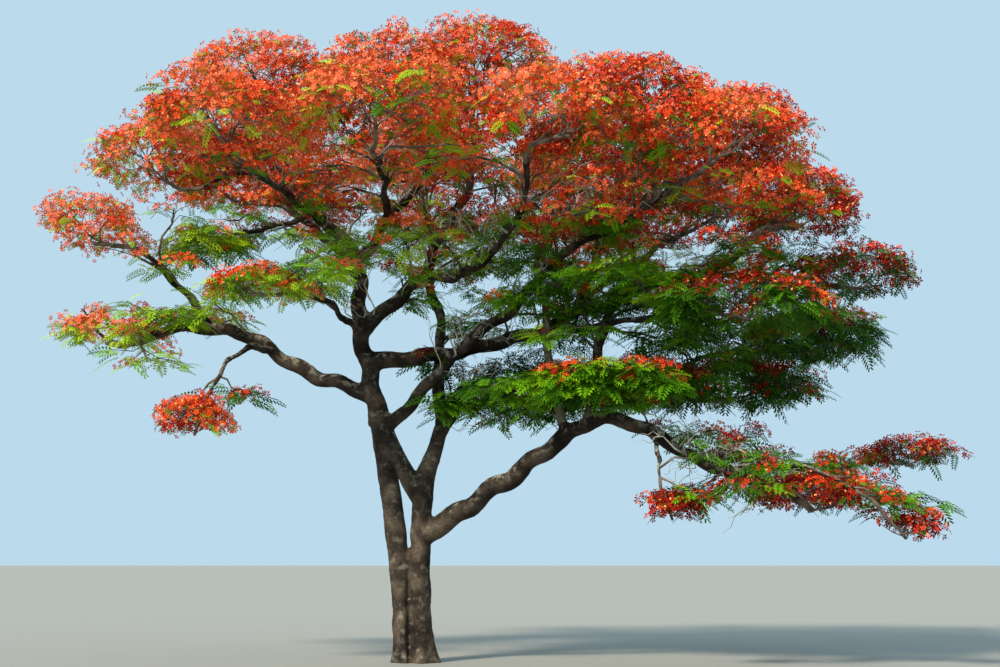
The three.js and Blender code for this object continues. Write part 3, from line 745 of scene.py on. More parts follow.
@dataclass
class Wood:
    """The trunk and boughs, as tubes that are fused, rounded at their forks and given the bark's
    relief."""

    trunk_voxel: float = 0.026
    bough_voxel: float = 0.04
    sides: int = 28
    ring_step: float = 0.09
    least_rings: int = 6
    bend_length: float = 1.3
    bend_share: float = 0.3
    bend_rise: float = 6.0
    knots: int = 4
    knot_height: float = 0.14
    knot_sizes: Pair = (0.3, 1)
    knot_places: Pair = (0.08, 0.95)
    knot_lengths: Pair = (0.02, 0.05)
    knot_narrowness: float = 1.2
    stub_share: float = 0.28
    stub_thinning: float = 0.3
    stub_power: int = 6
    smoothing: Pair = (0.5, -0.53)
    trunk_rounds: int = 4
    bough_rounds: int = 3
    lump: Pair = (0.34, 0.016)
    ripple: Pair = (0.12, 0.007)
    pock: Pair = (0.055, 0.004)
    furrow_size: Pair = (0.085, 0.06)
    furrow_fade: float = 0.13
    # The boughs, and the stretch of each, that get the paler copy of the bark: painted light where a bough
    # stands in the sun
    pale_limbs: tuple[str, ...] = ("back_middle_right",)
    pale_shares: Pair = (0.04, 0.55)
    pale_radii: float = 1.25
    lines: dict[str, LimbLine] = field(default_factory=dict)

    def __post_init__(self) -> None:
        """Draws the centreline of each stem and bough."""
        for stem in STEMS:
            through = metres(stem.through)
            self.lines[stem.name] = LimbLine(metres(stem.foot), metres(stem.head), through, 0, 0)
        for i, limb in enumerate(LIMBS):
            foot, through = self.lines[limb.parent].even(limb.at)[0], metres(limb.through)
            self.lines[limb.name] = LimbLine(foot, metres(limb.tip), through, CROOK, TURN * i * GOLDEN)

    def crooked(self, line: LimbLine, share: Array, radii: Array, seed: int) -> Array:
        """A limb's path with small bends: its centreline, moved across by a share of its radius times
        sin(2πs / bend + a) and up by as much of cos(3πs / bend + b), both dying away at its ends.

        Args:
            line: The centreline.
            share: Shares of its length, one to a ring.
            radii: The limb's radius at each.
            seed: What the phases are drawn from.

        Returns:
            The path's points.
        """
        draws = Draws(seed + BEND_SEED)
        first, second = draws.angle(), draws.angle()
        run = share * line.length / self.bend_length
        away = radii * self.bend_share * np.minimum(1, self.bend_rise * share)
        away = (away * np.minimum(1, self.bend_rise * (1 - share)))[:, None]
        return (
            line.even(share)
            + line.side * away * np.sin(2 * np.pi * run + first)[:, None]
            + line.lift * away * np.cos(3 * np.pi * run + second)[:, None]
        )

    def knotted(self, share: Array, turn: Array, seed: int) -> Array:
        """How much wider a limb is for its knots: 1 + height e^-(d²), d being the way to a knot's
        middle in shares of the length and of the turn.

        Args:
            share: Shares of the length, one to a ring.
            turn: Angles round the limb, one to a side.
            seed: What the knots are drawn from.

        Returns:
            A factor for each ring and side.
        """
        draws = Draws(seed)
        wide = np.ones((len(share), len(turn)))
        for _ in range(self.knots):
            middle, facing = draws.between(*self.knot_places), draws.angle()
            length = draws.between(*self.knot_lengths)
            height = draws.between(*self.knot_sizes) * self.knot_height
            along = ((share - middle) / length)[:, None] ** 2
            round_it = (1 - np.cos(turn - facing))[None] * self.knot_narrowness
            wide += height * np.exp(-along - round_it)
        return wide

    def stem_shell(self, stem: Stem, seed: int) -> Shell:
        """A stem of the trunk, whose foot spreads into root buttresses.

        The radius is the taper, times 1 + flare e^(-height / reach) (1 - d + d cos 4a).

        Args:
            stem: The stem.
            seed: What its knots are drawn from.

        Returns:
            The closed tube.
        """
        line = self.lines[stem.name]
        share = np.linspace(0, 1, int(line.length / self.ring_step) + 2)
        turn = spokes(self.sides)
        height = np.maximum(stem.foot[2] * MM + share * line.length, 0)
        flare = FLARE * np.exp(-height / FLARE_HEIGHT)[:, None]
        buttress = 1 - FLARE_DEPTH + FLARE_DEPTH * np.cos(FLARE_LOBES * turn)[None]
        taper = tapered(stem.radii, share)[:, None]
        radii = taper * (1 + flare * buttress) * self.knotted(share, turn, seed)
        return tubes(line.even(share)[None], radii[None], self.sides)

    def bough_shell(self, limb: Limb, seed: int, until: float = 1.0) -> Shell:
        """A bough that tapers from a collar at its parent to its tip.

        The radius is the taper, plus foot · collar · e^(-length / (reach · foot)).

        Args:
            limb: The bough.
            seed: What its knots are drawn from.
            until: The share of its length to draw. A part of it thins to its end, to hide in the whole.

        Returns:
            The closed tube.
        """
        line = self.lines[limb.name]
        share = np.linspace(0, until, max(self.least_rings, int(line.length * until / self.ring_step) + 2))
        turn = spokes(self.sides)
        foot, tip = (r * MM for r in limb.radii)
        collar = foot * COLLAR * np.exp(-share * line.length / (COLLAR_REACH * foot))
        taper = foot + (tip - foot) * share + collar
        if until < 1:
            taper = taper * (1 - self.stub_thinning * (share / until) ** self.stub_power)
        radii = taper[:, None] * self.knotted(share, turn, seed)
        return tubes(self.crooked(line, share, taper, seed)[None], radii[None], self.sides)

    def fused(self, name: str, shells: list[Shell], voxel: float) -> bpy.types.Mesh:
        """One skin round overlapping tubes, from a voxel remesh.

        Args:
            name: The mesh's name.
            shells: The tubes.
            voxel: The voxels' size.

        Returns:
            The new mesh.
        """
        rough = Shell.joined(shells).piece("rough_wood", [], True)
        remesh = rough.modifiers.new("fuse", "REMESH")
        remesh.mode, remesh.voxel_size, remesh.use_smooth_shade = "VOXEL", voxel, True
        graph = bpy.context.evaluated_depsgraph_get()
        mesh = bpy.data.meshes.new_from_object(rough.evaluated_get(graph))
        old = rough.data
        bpy.data.objects.remove(rough)
        bpy.data.meshes.remove(old)
        mesh.name = name
        return mesh

    def furrow(self, places: Array) -> Array:
        """How far the bark sinks where the trunk's two stems meet: depth e^(-(s / width)²), with s the
        difference between a place's ways to the two stems' skins at its own height. It fades out
        upwards, as the stems overlap by less than the fade.

        Args:
            places: Points, one to a row.

        Returns:
            The push along the normal, below 0 in the furrow.
        """
        ways, middles, overlap = [], [], 0.0
        for stem in STEMS[:2]:
            share = np.linspace(0, 1, LINE_STEPS)
            east, north, height = self.lines[stem.name].even(share).T
            radius = tapered(stem.radii, share)
            radius = radius * (1 + FLARE * (1 - FLARE_DEPTH) * np.exp(-np.maximum(height, 0) / FLARE_HEIGHT))
            centre = [np.interp(places[:, 2], height, value) for value in (east, north, radius)]
            ways.append(np.hypot(places[:, 0] - centre[0], places[:, 1] - centre[1]) - centre[2])
            middles.append(np.stack(centre[:2]))
            overlap = overlap + centre[2]
        overlap = overlap - np.hypot(*(middles[0] - middles[1]))
        depth, width = self.furrow_size
        fade = np.clip(overlap / self.furrow_fade, 0, 1)
        return -depth * fade * np.exp(-(((ways[0] - ways[1]) / width) ** 2))

    def relieved(self, mesh: bpy.types.Mesh, rounds: int, furrowed: bool) -> None:
        """Rounds a skin and gives it the bark's relief, in place.

        Each round moves every vertex by half of its way to its neighbours' mean and then by 0.53 of it
        back, which smooths without shrinking. The relief moves it along its normal by noise of three
        sizes.

        Args:
            mesh: The skin.
            rounds: How many rounds of smoothing it gets.
            furrowed: Whether it is the trunk's, with a furrow between its stems.
        """
        count = len(mesh.vertices)
        places = read(mesh.vertices, "co").astype(float)
        near, far = read(mesh.edges, "vertices", 2, np.int32).T
        ends, others = np.concatenate([near, far]), np.concatenate([far, near])
        degree = np.bincount(ends, minlength=count)[:, None]
        for step in self.smoothing * rounds:
            mean = np.stack(
                [np.bincount(ends, places[others, k], minlength=count) for k in range(3)], axis=1
            ) / degree
            places += step * (mean - places)
        mesh.vertices.foreach_set("co", places.astype(np.float32).ravel())
        mesh.update()
        push = sum(height * noise_at(places, size) for size, height in (self.lump, self.ripple, self.pock))
        if furrowed:
            push += self.furrow(places)
        places += read(mesh.vertex_normals, "vector") * push[:, None]
        mesh.vertices.foreach_set("co", places.astype(np.float32).ravel())
        mesh.update()

    def levelled(self, mesh: bpy.types.Mesh) -> None:
        """Cuts a skin off flat at the ground and closes the cut, in place."""
        work = bmesh.new()
        work.from_mesh(mesh)
        every = work.verts[:] + work.edges[:] + work.faces[:]
        bmesh.ops.bisect_plane(work, geom=every, plane_co=(0, 0, 0), plane_no=(0, 0, 1), clear_inner=True)
        rim = [e for e in work.edges if e.is_boundary]
        filled = bmesh.ops.holes_fill(work, edges=rim, sides=0)["faces"]
        bmesh.ops.triangulate(work, faces=filled)
        bmesh.ops.recalc_face_normals(work, faces=work.faces[:])
        work.to_mesh(mesh)
        work.free()
        mesh.update()

    def toned(self, mesh: bpy.types.Mesh) -> None:
        """Gives the paler copy of the bark, painted light, to the faces that lie close to a sunlit limb,
        and the shaded copy, painted shade, to the rest, in place."""
        centres = read(mesh.polygons, "center")
        # Painted light and shade: faces near a sunlit limb get the paler copy of the bark, and the rest get
        # the darker, shaded one
        pale = np.zeros(len(centres), bool)
        for limb in LIMBS:
            if limb.name not in self.pale_limbs:
                continue
            path = self.lines[limb.name].even(np.linspace(*self.pale_shares, LINE_STEPS))
            away = np.linalg.norm(centres[:, None] - path[None], axis=2).min(axis=1)
            pale |= away < (limb.radii[0] * self.pale_radii * MM)
        tones = np.where(pale, BarkTone.PALE, BarkTone.SHADED)
        mesh.polygons.foreach_set("material_index", tones.astype(np.int32))
        mesh.update()

    def build(self) -> list[bpy.types.Object]:
        """Makes the trunk's and the boughs' bark, and hides the parts that they replace."""
        stems = [self.stem_shell(stem, STEM_SEED + i) for i, stem in enumerate(STEMS)]
        stubs = [
            self.bough_shell(limb, BOUGH_SEED + i, self.stub_share)
            for i, limb in enumerate(LIMBS) if "stem" in limb.parent
        ]
        boughs = [self.bough_shell(limb, BOUGH_SEED + i) for i, limb in enumerate(LIMBS)]
        trunk = self.fused("trunk_bark", stems + stubs, self.trunk_voxel)
        self.relieved(trunk, self.trunk_rounds, True)
        self.levelled(trunk)
        limbs = self.fused("bough_bark", boughs, self.bough_voxel)
        self.relieved(limbs, self.bough_rounds, False)
        for finish in BARK_FINISHES:
            material = finish.material()
            trunk.materials.append(material)
            limbs.materials.append(material)
        self.toned(limbs)
        trunk.shade_smooth()
        limbs.shade_smooth()
        return [
            kept(linked(trunk.name, trunk), ["trunk"]),
            kept(linked(limbs.name, limbs), ["bough_" + limb.name for limb in LIMBS]),
        ]


@dataclass
class Shoots:
    """Twigs of one order, as arrays with a row to each.

    A twig's path is the curve (1-t)² foot + 2t(1-t) bend + t² neck, with a crook across it.
    """

    feet: Array
    bends: Array
    necks: Array
    foot_radii: Array
    neck_radii: Array
    phases: Array
    crook: float = 0.05

    def picked(self, rows: Array) -> "Shoots":
        """The twigs of these rows."""
        return Shoots(self.feet[rows], self.bends[rows], self.necks[rows], self.foot_radii[rows],
                      self.neck_radii[rows], self.phases[rows], self.crook)

    def along(self, t: Array) -> Array:
        """Points at shares of shape (twigs, steps), as (twigs, steps, 3)."""
        t = t[..., None]
        feet, bends, necks = self.feet[:, None], self.bends[:, None], self.necks[:, None]
        run = necks - feet
        across = unit(np.cross(run, UP))
        over = np.cross(unit(run), across)
        sway = np.sin(np.pi * t) * self.crook * np.linalg.norm(run, axis=-1, keepdims=True)
        phase = self.phases[:, None, None]
        curve = (1 - t) ** 2 * feet + 2 * t * (1 - t) * bends + t**2 * necks
        return curve + sway * (across * np.sin(2 * np.pi * t + phase) + over * np.cos(3 * np.pi * t + phase))

    def at(self, share: Array) -> Array:
        """One point on each twig."""
        return self.along(share[:, None])[:, 0]

    def heading(self, share: Array) -> Array:
        """The unit heading of each twig at one share of it."""
        step = 0.02
        return unit(self.at(np.minimum(share + step, 1)) - self.at(share - step))

    def radii_at(self, share: Array) -> Array:
        """The radius of each twig at one share of it."""
        return self.foot_radii + (self.neck_radii - self.foot_radii) * share

    def shell(self, rings: int, sides: int) -> Shell:
        """The twigs as closed tubes."""
        t = np.broadcast_to(np.linspace(0, 1, rings), (len(self.feet), rings))
        radii = self.foot_radii[:, None] + (self.neck_radii - self.foot_radii)[:, None] * t
        return tubes(self.along(t), radii, sides)

    def branched(self, owners: Array, shares: Array, necks: Array, draws: Draws, share: float,
                 thinnest: float = 0.0) -> "Shoots":
        """Twigs of the next order, each of which leaves its owner along the owner's own heading.

        Args:
            owners: The row of the twig that each leaves.
            shares: How far along the owner it leaves.
            necks: Where each ends.
            draws: What its crook is drawn from.
            share: Radius of its foot, as a share of its owner's there.
            thinnest: The least radius of a foot, in metres.

        Returns:
            The new twigs.
        """
        parents = self.picked(owners)
        feet, heading = parents.at(shares), parents.heading(shares)
        gap = np.linalg.norm(necks - feet, axis=1, keepdims=True)
        way = heading * FOLLOW + unit(necks - feet) * (1 - FOLLOW)
        radii = np.maximum(parents.radii_at(shares) * share, thinnest)
        return Shoots(feet, feet + way * gap * STEM_BEND, necks, radii, radii * TWIG_TAPER,
                      draws.angles(len(necks)), self.crook)


@dataclass
class Tips:
    """Where twigs end and carry leaves or blossom, as arrays with a row to each."""

    places: Array
    headings: Array
    bloom: Array
    light: Array
    sizes: Array
    lush: Array

    @staticmethod
    def joined(parts: list["Tips"]) -> "Tips":
        """All the tips as one."""
        return Tips(*[np.concatenate([getattr(part, each.name) for part in parts]) for each in fields(Tips)])


@dataclass(frozen=True)
class Order:
    """One order of a mass's twigs: how many of the mass's tips there are to each, the least and the
    greatest depth of their ends, their foot's radius as a share of its owner's and in metres at least,
    and their rings and sides."""

    tips_each: float
    depth: Pair
    share: float
    thinnest: float
    rings: int
    sides: int


ORDERS = (
    Order(8, (0.62, 0.78), 0.66, 0.014, 5, 5),
    Order(2.6, (0.78, 0.93), 0.62, 0.009, 3, 3),
    Order(1, (0.8, 1.0), 0.6, 0.006, 2, 3),
)


@dataclass(frozen=True)
class Wayside:
    """Sizes of the leafy twigs that stand along a bough: lengths and radii in metres, and the rest as
    shares or as chances from 0 to 1."""

    per_metre: float = 2.8
    high_per_metre: float = 4.6
    shaded_per_metre: float = 4.2
    bare: float = 0.35
    high_bare: float = 0.22
    outward: float = 0.5
    rise: Pair = (-0.3, 0.9)
    lengths: Pair = (0.6, 1.6)
    ahead: float = 0.6
    bow_up: float = 0.4
    radius: float = 0.012
    radius_per_metre: float = 0.014
    of_bough: float = 0.6
    crook: float = 0.07
    tips: int = 6
    layer: Pair = (0.12, 0.42)
    lift: Pair = (-0.08, 0.22)
    forks: Pair = (0.45, NEAR_TIP)
    fork_share: float = 0.6
    thinnest: float = 0.006
    lightness: float = 0.55
    light_noise: Pair = (0.4, 1.1)
    high_bloom: float = 1.1
    bloom_size: float = 0.8
    tip_up: float = 0.3
    lush: float = 0.9
    lush_lost: float = 0.8
    sizes: Pair = (0.8, 1.05)


@dataclass
class Mass:
    """The twigs of one mass of foliage, grown on from its bough's tip by the solids' rule and carried
    to finer orders within the same reach.

    Sizes, heights and places are in metres, and the rest are shares, or chances and tones from 0 to 1.
    """

    limb: Limb
    line: LimbLine
    draws: Draws
    side: Wayside = Wayside()
    tips_per_area: float = 46.0
    stem_crook: float = 0.03
    skin: float = 0.26
    least_reach: float = 0.6
    farthest: float = 1.02
    turn_stray: float = 0.35
    under: float = 0.62
    blooming: float = 0.7
    leafy: float = 0.6
    mixed: float = 0.5
    full_bloom: float = 0.12
    top_bloom: float = 0.4
    mixed_bloom: float = 0.2
    bloom_noise: float = 0.3
    bloom_size: float = 0.9
    roughness: float = 0.3
    bump_size: float = 1.1
    bump_weights: Pair = (0.7, 0.45)
    small_bump: float = 0.45
    cushion: float = 1.7
    squareness: float = 4.0
    gap_size: float = 0.8
    gap_share: float = 0.42
    high_gap_share: float = 0.62
    small_gap_size: float = 0.55
    small_gap_share: float = 0.2
    ragged_under: float = 1.36
    shared_depth: float = 0.12
    bloom_from: float = 7.4
    bloom_over: float = 2.2
    rim_drop: float = 0.15
    least_bloom: float = 0.2
    low_bloom: float = 0.75
    low: float = 4.6
    high: float = 8.3
    shaded_east: float = 3.2
    shade: float = 0.28
    sun_side: float = 0.05
    lightness: float = 0.58
    light_rise: float = 0.25
    light_lumps: float = 0.65
    light_stray: float = 0.2
    stray: Pair = (0.05, 0.1)
    main_from: float = 0.84
    main_stray: float = 0.3
    upright: tuple[Pair, Pair] = ((0.1, 0.2), (0.4, 0.5))
    leaning: tuple[Pair, Pair] = ((0.38, 0.58), (0, 0.45))
    next_from: float = 0.4
    outer: float = 0.8
    high_foot: float = 7.0
    inner_east: float = 2.8
    leafy_boughs: tuple[str, ...] = ("top_middle",)
    tip_spread: float = 0.6
    least_size: float = 0.75
    tip_sizes: Pair = (0.85, 1.15)
    twigs: list[Shell] = field(default_factory=list)
    tips: Tips | None = None

    def dome(self, count: int, scale: Pair) -> Array:
        """Points evenly over an ellipsoid's skin, in metres, by a spiral of golden angles.

        The k-th lies at height 1 - (k + ½) / count · (1 + under), on a circle of radius
        √(1 - height²), times the reach less the blossom's own, and a drawn depth. The circle is made
        squarer, by (|cos turn|^s + |sin turn|^s)^(-1/s), so that a mass closes up to its neighbours.

        Args:
            count: How many points.
            scale: The least and the greatest depth, as shares of the reach.

        Returns:
            The points.
        """
        k = np.arange(count)
        height = 1 - (k + 0.5) / count * (1 + self.under)
        turn = k * GOLDEN_TURN + self.draws.angle()
        turn = turn + self.draws.many(count, -self.turn_stray, self.turn_stray)
        sphere = around(turn, np.sqrt(1 - height**2), height)
        centre, reach = metres(self.limb.centre), metres(self.limb.reach)
        corners = (np.abs(np.cos(turn)) ** self.squareness + np.abs(np.sin(turn)) ** self.squareness)
        sphere[:, :2] *= corners[:, None] ** (-1 / self.squareness)
        inner = np.maximum(reach - self.skin, reach * self.least_reach)
        rough = self.roughness / min(1, reach[0] / FULL_REACH)
        bumps = 1 - rough * 0.5 + rough * self.lumps(centre + sphere * reach)
        depth = np.minimum(self.draws.many(count, *scale) * bumps, self.farthest)
        depth += np.where(self.draws.many(count) < self.stray[0], self.stray[1], 0)
        return centre + sphere * inner * depth[:, None]

    def is_low(self) -> bool:
        """Whether the mass hangs below the crown."""
        return self.limb.centre[2] * MM < self.low

    def is_shaded(self) -> bool:
        """Whether the mass stands in the crown's shade: it hangs low, or is leafy and on the right."""
        return self.is_low() or (
            self.limb.bloom < self.leafy and self.limb.centre[0] * MM > self.shaded_east
        )

    def is_high(self) -> bool:
        """Whether the mass is one of the crown's blossoming top ones."""
        return self.limb.bloom > self.blooming and self.limb.centre[2] * MM > self.high

    def crowding(self) -> float:
        """The power that draws a bough's twigs towards its tip: less than 1 for a long bough to the
        crown's top, where the crown's open middle is bare."""
        foot = self.line.foot
        bare = self.is_high() and foot[2] < self.high_foot and foot[0] < self.inner_east
        return self.side.outward if bare and self.limb.name not in self.leafy_boughs else 1.0

    def lumps(self, places: Array) -> Array:
        """How far the crown's lumps, of two sizes, rise or sink at some places, from -1 to 1."""
        small = min(1, self.limb.reach[0] * MM / FULL_REACH)
        flat = places * np.array([1, 1, self.cushion])
        wide = noise_at(flat, self.bump_size * small)
        fine = noise_at(flat + LUMP_SHIFT, self.bump_size * self.small_bump * small)
        return self.bump_weights[0] * wide + self.bump_weights[1] * fine

    def blooms(self, places: Array, likely: Array | float, shift: float, size: float) -> Array:
        """Which tips are in bloom: those whose drawn number, with some noise added, is below likely."""
        return self.draws.many(len(places)) + self.bloom_noise * noise_at(places + shift, size) < likely

    def on_skin(self, turn: float, spread: float, rise: float) -> Array:
        """A point by its turn, its spread across and its rise, as shares of the reach."""
        way = np.array([math.cos(turn) * spread, math.sin(turn) * spread, rise])
        return (np.array(self.limb.centre) + way * np.array(self.limb.reach)) * MM

    def main_twigs(self, stem: Shoots) -> Shoots:
        """The main twigs, which fan out from near the stem's head towards the skin.

        Args:
            stem: The mass's stem, a single row.

        Returns:
            The main twigs.
        """
        area = self.limb.reach[0] * self.limb.reach[1] * MM * MM
        count = round(min(max(area / AREA_PER_TWIG, MAIN_TWIGS[0]), MAIN_TWIGS[1]))
        first = self.draws.angle()
        shares, necks = [], []
        for i in range(count):
            shares.append(self.draws.between(self.main_from, NEAR_TIP))
            turn = first + (i + self.draws.between(-self.main_stray, self.main_stray)) * TURN / count
            spread, rise = self.upright if i == 0 and count > MAIN_TWIGS[0] else self.leaning
            necks.append(self.on_skin(turn, self.draws.between(*spread), self.draws.between(*rise)))
        rows = np.zeros(count, int)
        return stem.branched(rows, np.array(shares), np.array(necks), self.draws, TWIG_SHARE)

    def next_order(self, parents: Shoots, order: Order, count: int) -> Shoots:
        """Twigs that end on the mass's dome, each from the parent whose outer part is nearest. Some
        places are left open, where noise is low, and those that lie deeper in another mass are left out.

        Args:
            parents: The twigs of the order before.
            order: The order's sizes.
            count: How many ends are tried.

        Returns:
            The new twigs.
        """
        necks = self.dome(count, order.depth)
        small = self.limb.reach[0] * MM < self.ragged_under
        size = self.gap_size * (self.small_gap_size if small else 1)
        share = self.small_gap_share if small else self.gap_share
        share = self.high_gap_share if self.is_high() else share
        open_sky = noise_at(necks + GAP_SHIFT, size) < -share
        necks = necks[self.owned(necks) & ~open_sky]
        outer = parents.at(np.full(len(parents.feet), self.outer))
        owners = np.linalg.norm(necks[:, None] - outer[None], axis=2).argmin(axis=1)
        shares = self.draws.many(len(necks), self.next_from, NEAR_TIP)
        return parents.branched(owners, shares, necks, self.draws, order.share, order.thinnest)

    def wayside_shares(self) -> Array:
        """Where along the bough its leafy twigs stand, as shares of its length."""
        limb, side = self.limb, self.side
        start = BARE_SHARES.get(limb.name, side.high_bare if self.is_high() else side.bare)
        per_metre = side.high_per_metre if self.is_high() else side.per_metre
        per_metre = side.shaded_per_metre if self.is_shaded() and not self.is_low() else per_metre
        count = max(2, round(self.line.length * (1 - start) * per_metre))
        return start + (1 - start) * self.draws.many(count) ** self.crowding()

    def wayside(self) -> tuple[list[Shell], Tips]:
        """Twigs that leave the bough on its way to the mass, and part once more before they end in
        flat layers of leaves and some blossom.

        Returns:
            Their tubes, and where they end.
        """
        limb, draws, side = self.limb, self.draws, self.side
        share = self.wayside_shares()
        count = len(share)
        feet, heading = self.line.even(share), self.line.heading(share)
        turn = draws.angles(count)
        out = unit(around(turn, 1, draws.many(count, *side.rise)))
        length = draws.many(count, *side.lengths)
        necks = feet + unit(out + heading * side.ahead) * length[:, None]
        bends = feet + unit(out + heading + UP * side.bow_up) * length[:, None] * 0.5
        thickest = tapered(limb.radii, share) * side.of_bough
        radii = np.minimum(side.radius + side.radius_per_metre * length, thickest)
        first = Shoots(feet, bends, necks, radii, radii * TWIG_TAPER, turn, side.crook)

        owners = np.repeat(np.arange(count), side.tips)
        total = len(owners)
        k = np.tile(np.arange(side.tips), count)
        spin = k * GOLDEN_TURN + np.repeat(draws.angles(count), side.tips)
        near, far = side.layer
        away = length[owners] * (near + far * np.sqrt((k + 0.5) / side.tips))
        ends = necks[owners] + around(spin, away, draws.many(total, *side.lift))
        shares = draws.many(total, *side.forks)
        second = first.branched(owners, shares, ends, draws, side.fork_share, side.thinnest)

        weight, size = side.light_noise
        light = side.lightness + weight * noise_at(second.necks, size)
        light += draws.many(total, -self.light_stray, self.light_stray)
        light -= self.shade * self.is_shaded()
        east, _, height = second.necks.T
        high = np.clip((height + self.rim_drop * np.abs(east) - self.bloom_from) / self.bloom_over, 0, 1)
        likely = limb.bloom * (self.low_bloom if self.is_low() else self.least_bloom + side.high_bloom * high)
        bloom = self.blooms(second.necks, likely, WAYSIDE_SHIFT, side.bloom_size)
        headings = unit(second.heading(np.full(total, NEAR_TIP)) + UP * side.tip_up)
        sizes = draws.many(total, *side.sizes)
        tips = Tips(second.necks, headings, bloom, light, sizes, side.lush - side.lush_lost * high)
        return [first.shell(rings=5, sides=4), second.shell(rings=3, sides=3)], tips

    def owned(self, places: Array) -> Array:
        """Which places lie about as deep in this mass as in any other."""
        centres = metres([limb.centre for limb in LIMBS])
        reaches = metres([limb.reach for limb in LIMBS])
        depth = np.linalg.norm((places[:, None] - centres) / reaches, axis=2)
        mine = depth[:, [limb.name for limb in LIMBS].index(self.limb.name)]
        return mine <= depth.min(axis=1) + self.shared_depth

    def grow(self) -> None:
        """Grows the stem and four orders of twigs, and keeps where they end."""
        limb = self.limb
        reach = metres(limb.reach)
        heading = self.line.heading(1.0)[0]
        start = self.line.even(1.0)[0] + heading * CLEARANCE
        hub = self.on_skin(0, 0, HUB_RISE)
        bend = start + heading * np.linalg.norm(hub - start) * STEM_BEND
        radius = limb.radii[1] * STEM_START * MM
        stem = Shoots(start[None], bend[None], hub[None], np.array([radius]),
                      np.array([radius * STEM_TAPER]), np.zeros(1), self.stem_crook)
        last = self.main_twigs(stem)
        area = reach[0] * reach[1]
        count = round(area * self.tips_per_area)
        self.twigs = [stem.shell(rings=8, sides=8), last.shell(rings=7, sides=6)]
        for order in ORDERS:
            last = self.next_order(last, order, round(count / order.tips_each))
            self.twigs.append(last.shell(order.rings, order.sides))

        places, total = last.necks, len(last.necks)
        headings = unit(last.heading(np.full(total, NEAR_TIP)) + unit(places - hub) * self.tip_spread)
        rise = (places[:, 2] - limb.centre[2] * MM) / reach[2]
        light = self.lightness + self.light_rise * rise + self.light_lumps * self.lumps(places)
        light += self.draws.many(total, -self.light_stray, self.light_stray)
        light -= self.shade * self.is_shaded() + self.sun_side * places[:, 0]
        more = self.top_bloom * rise + (self.mixed_bloom if limb.bloom >= self.mixed else 0)
        likely = limb.bloom + (self.full_bloom if limb.bloom > self.blooming else more)
        bloom = self.blooms(places, likely, BLOOM_SHIFT, self.bloom_size)
        size = min(max(math.sqrt(area) / FULL_REACH, SIZES[0]), SIZES[1])
        size = self.least_size + (1 - self.least_size) * size
        sizes = size * self.draws.many(total, *self.tip_sizes)
        shells, wayside = self.wayside()
        self.twigs += shells
        lush = np.full(total, 1 - limb.bloom)
        self.tips = Tips.joined([Tips(places, headings, bloom, light, sizes, lush), wayside])


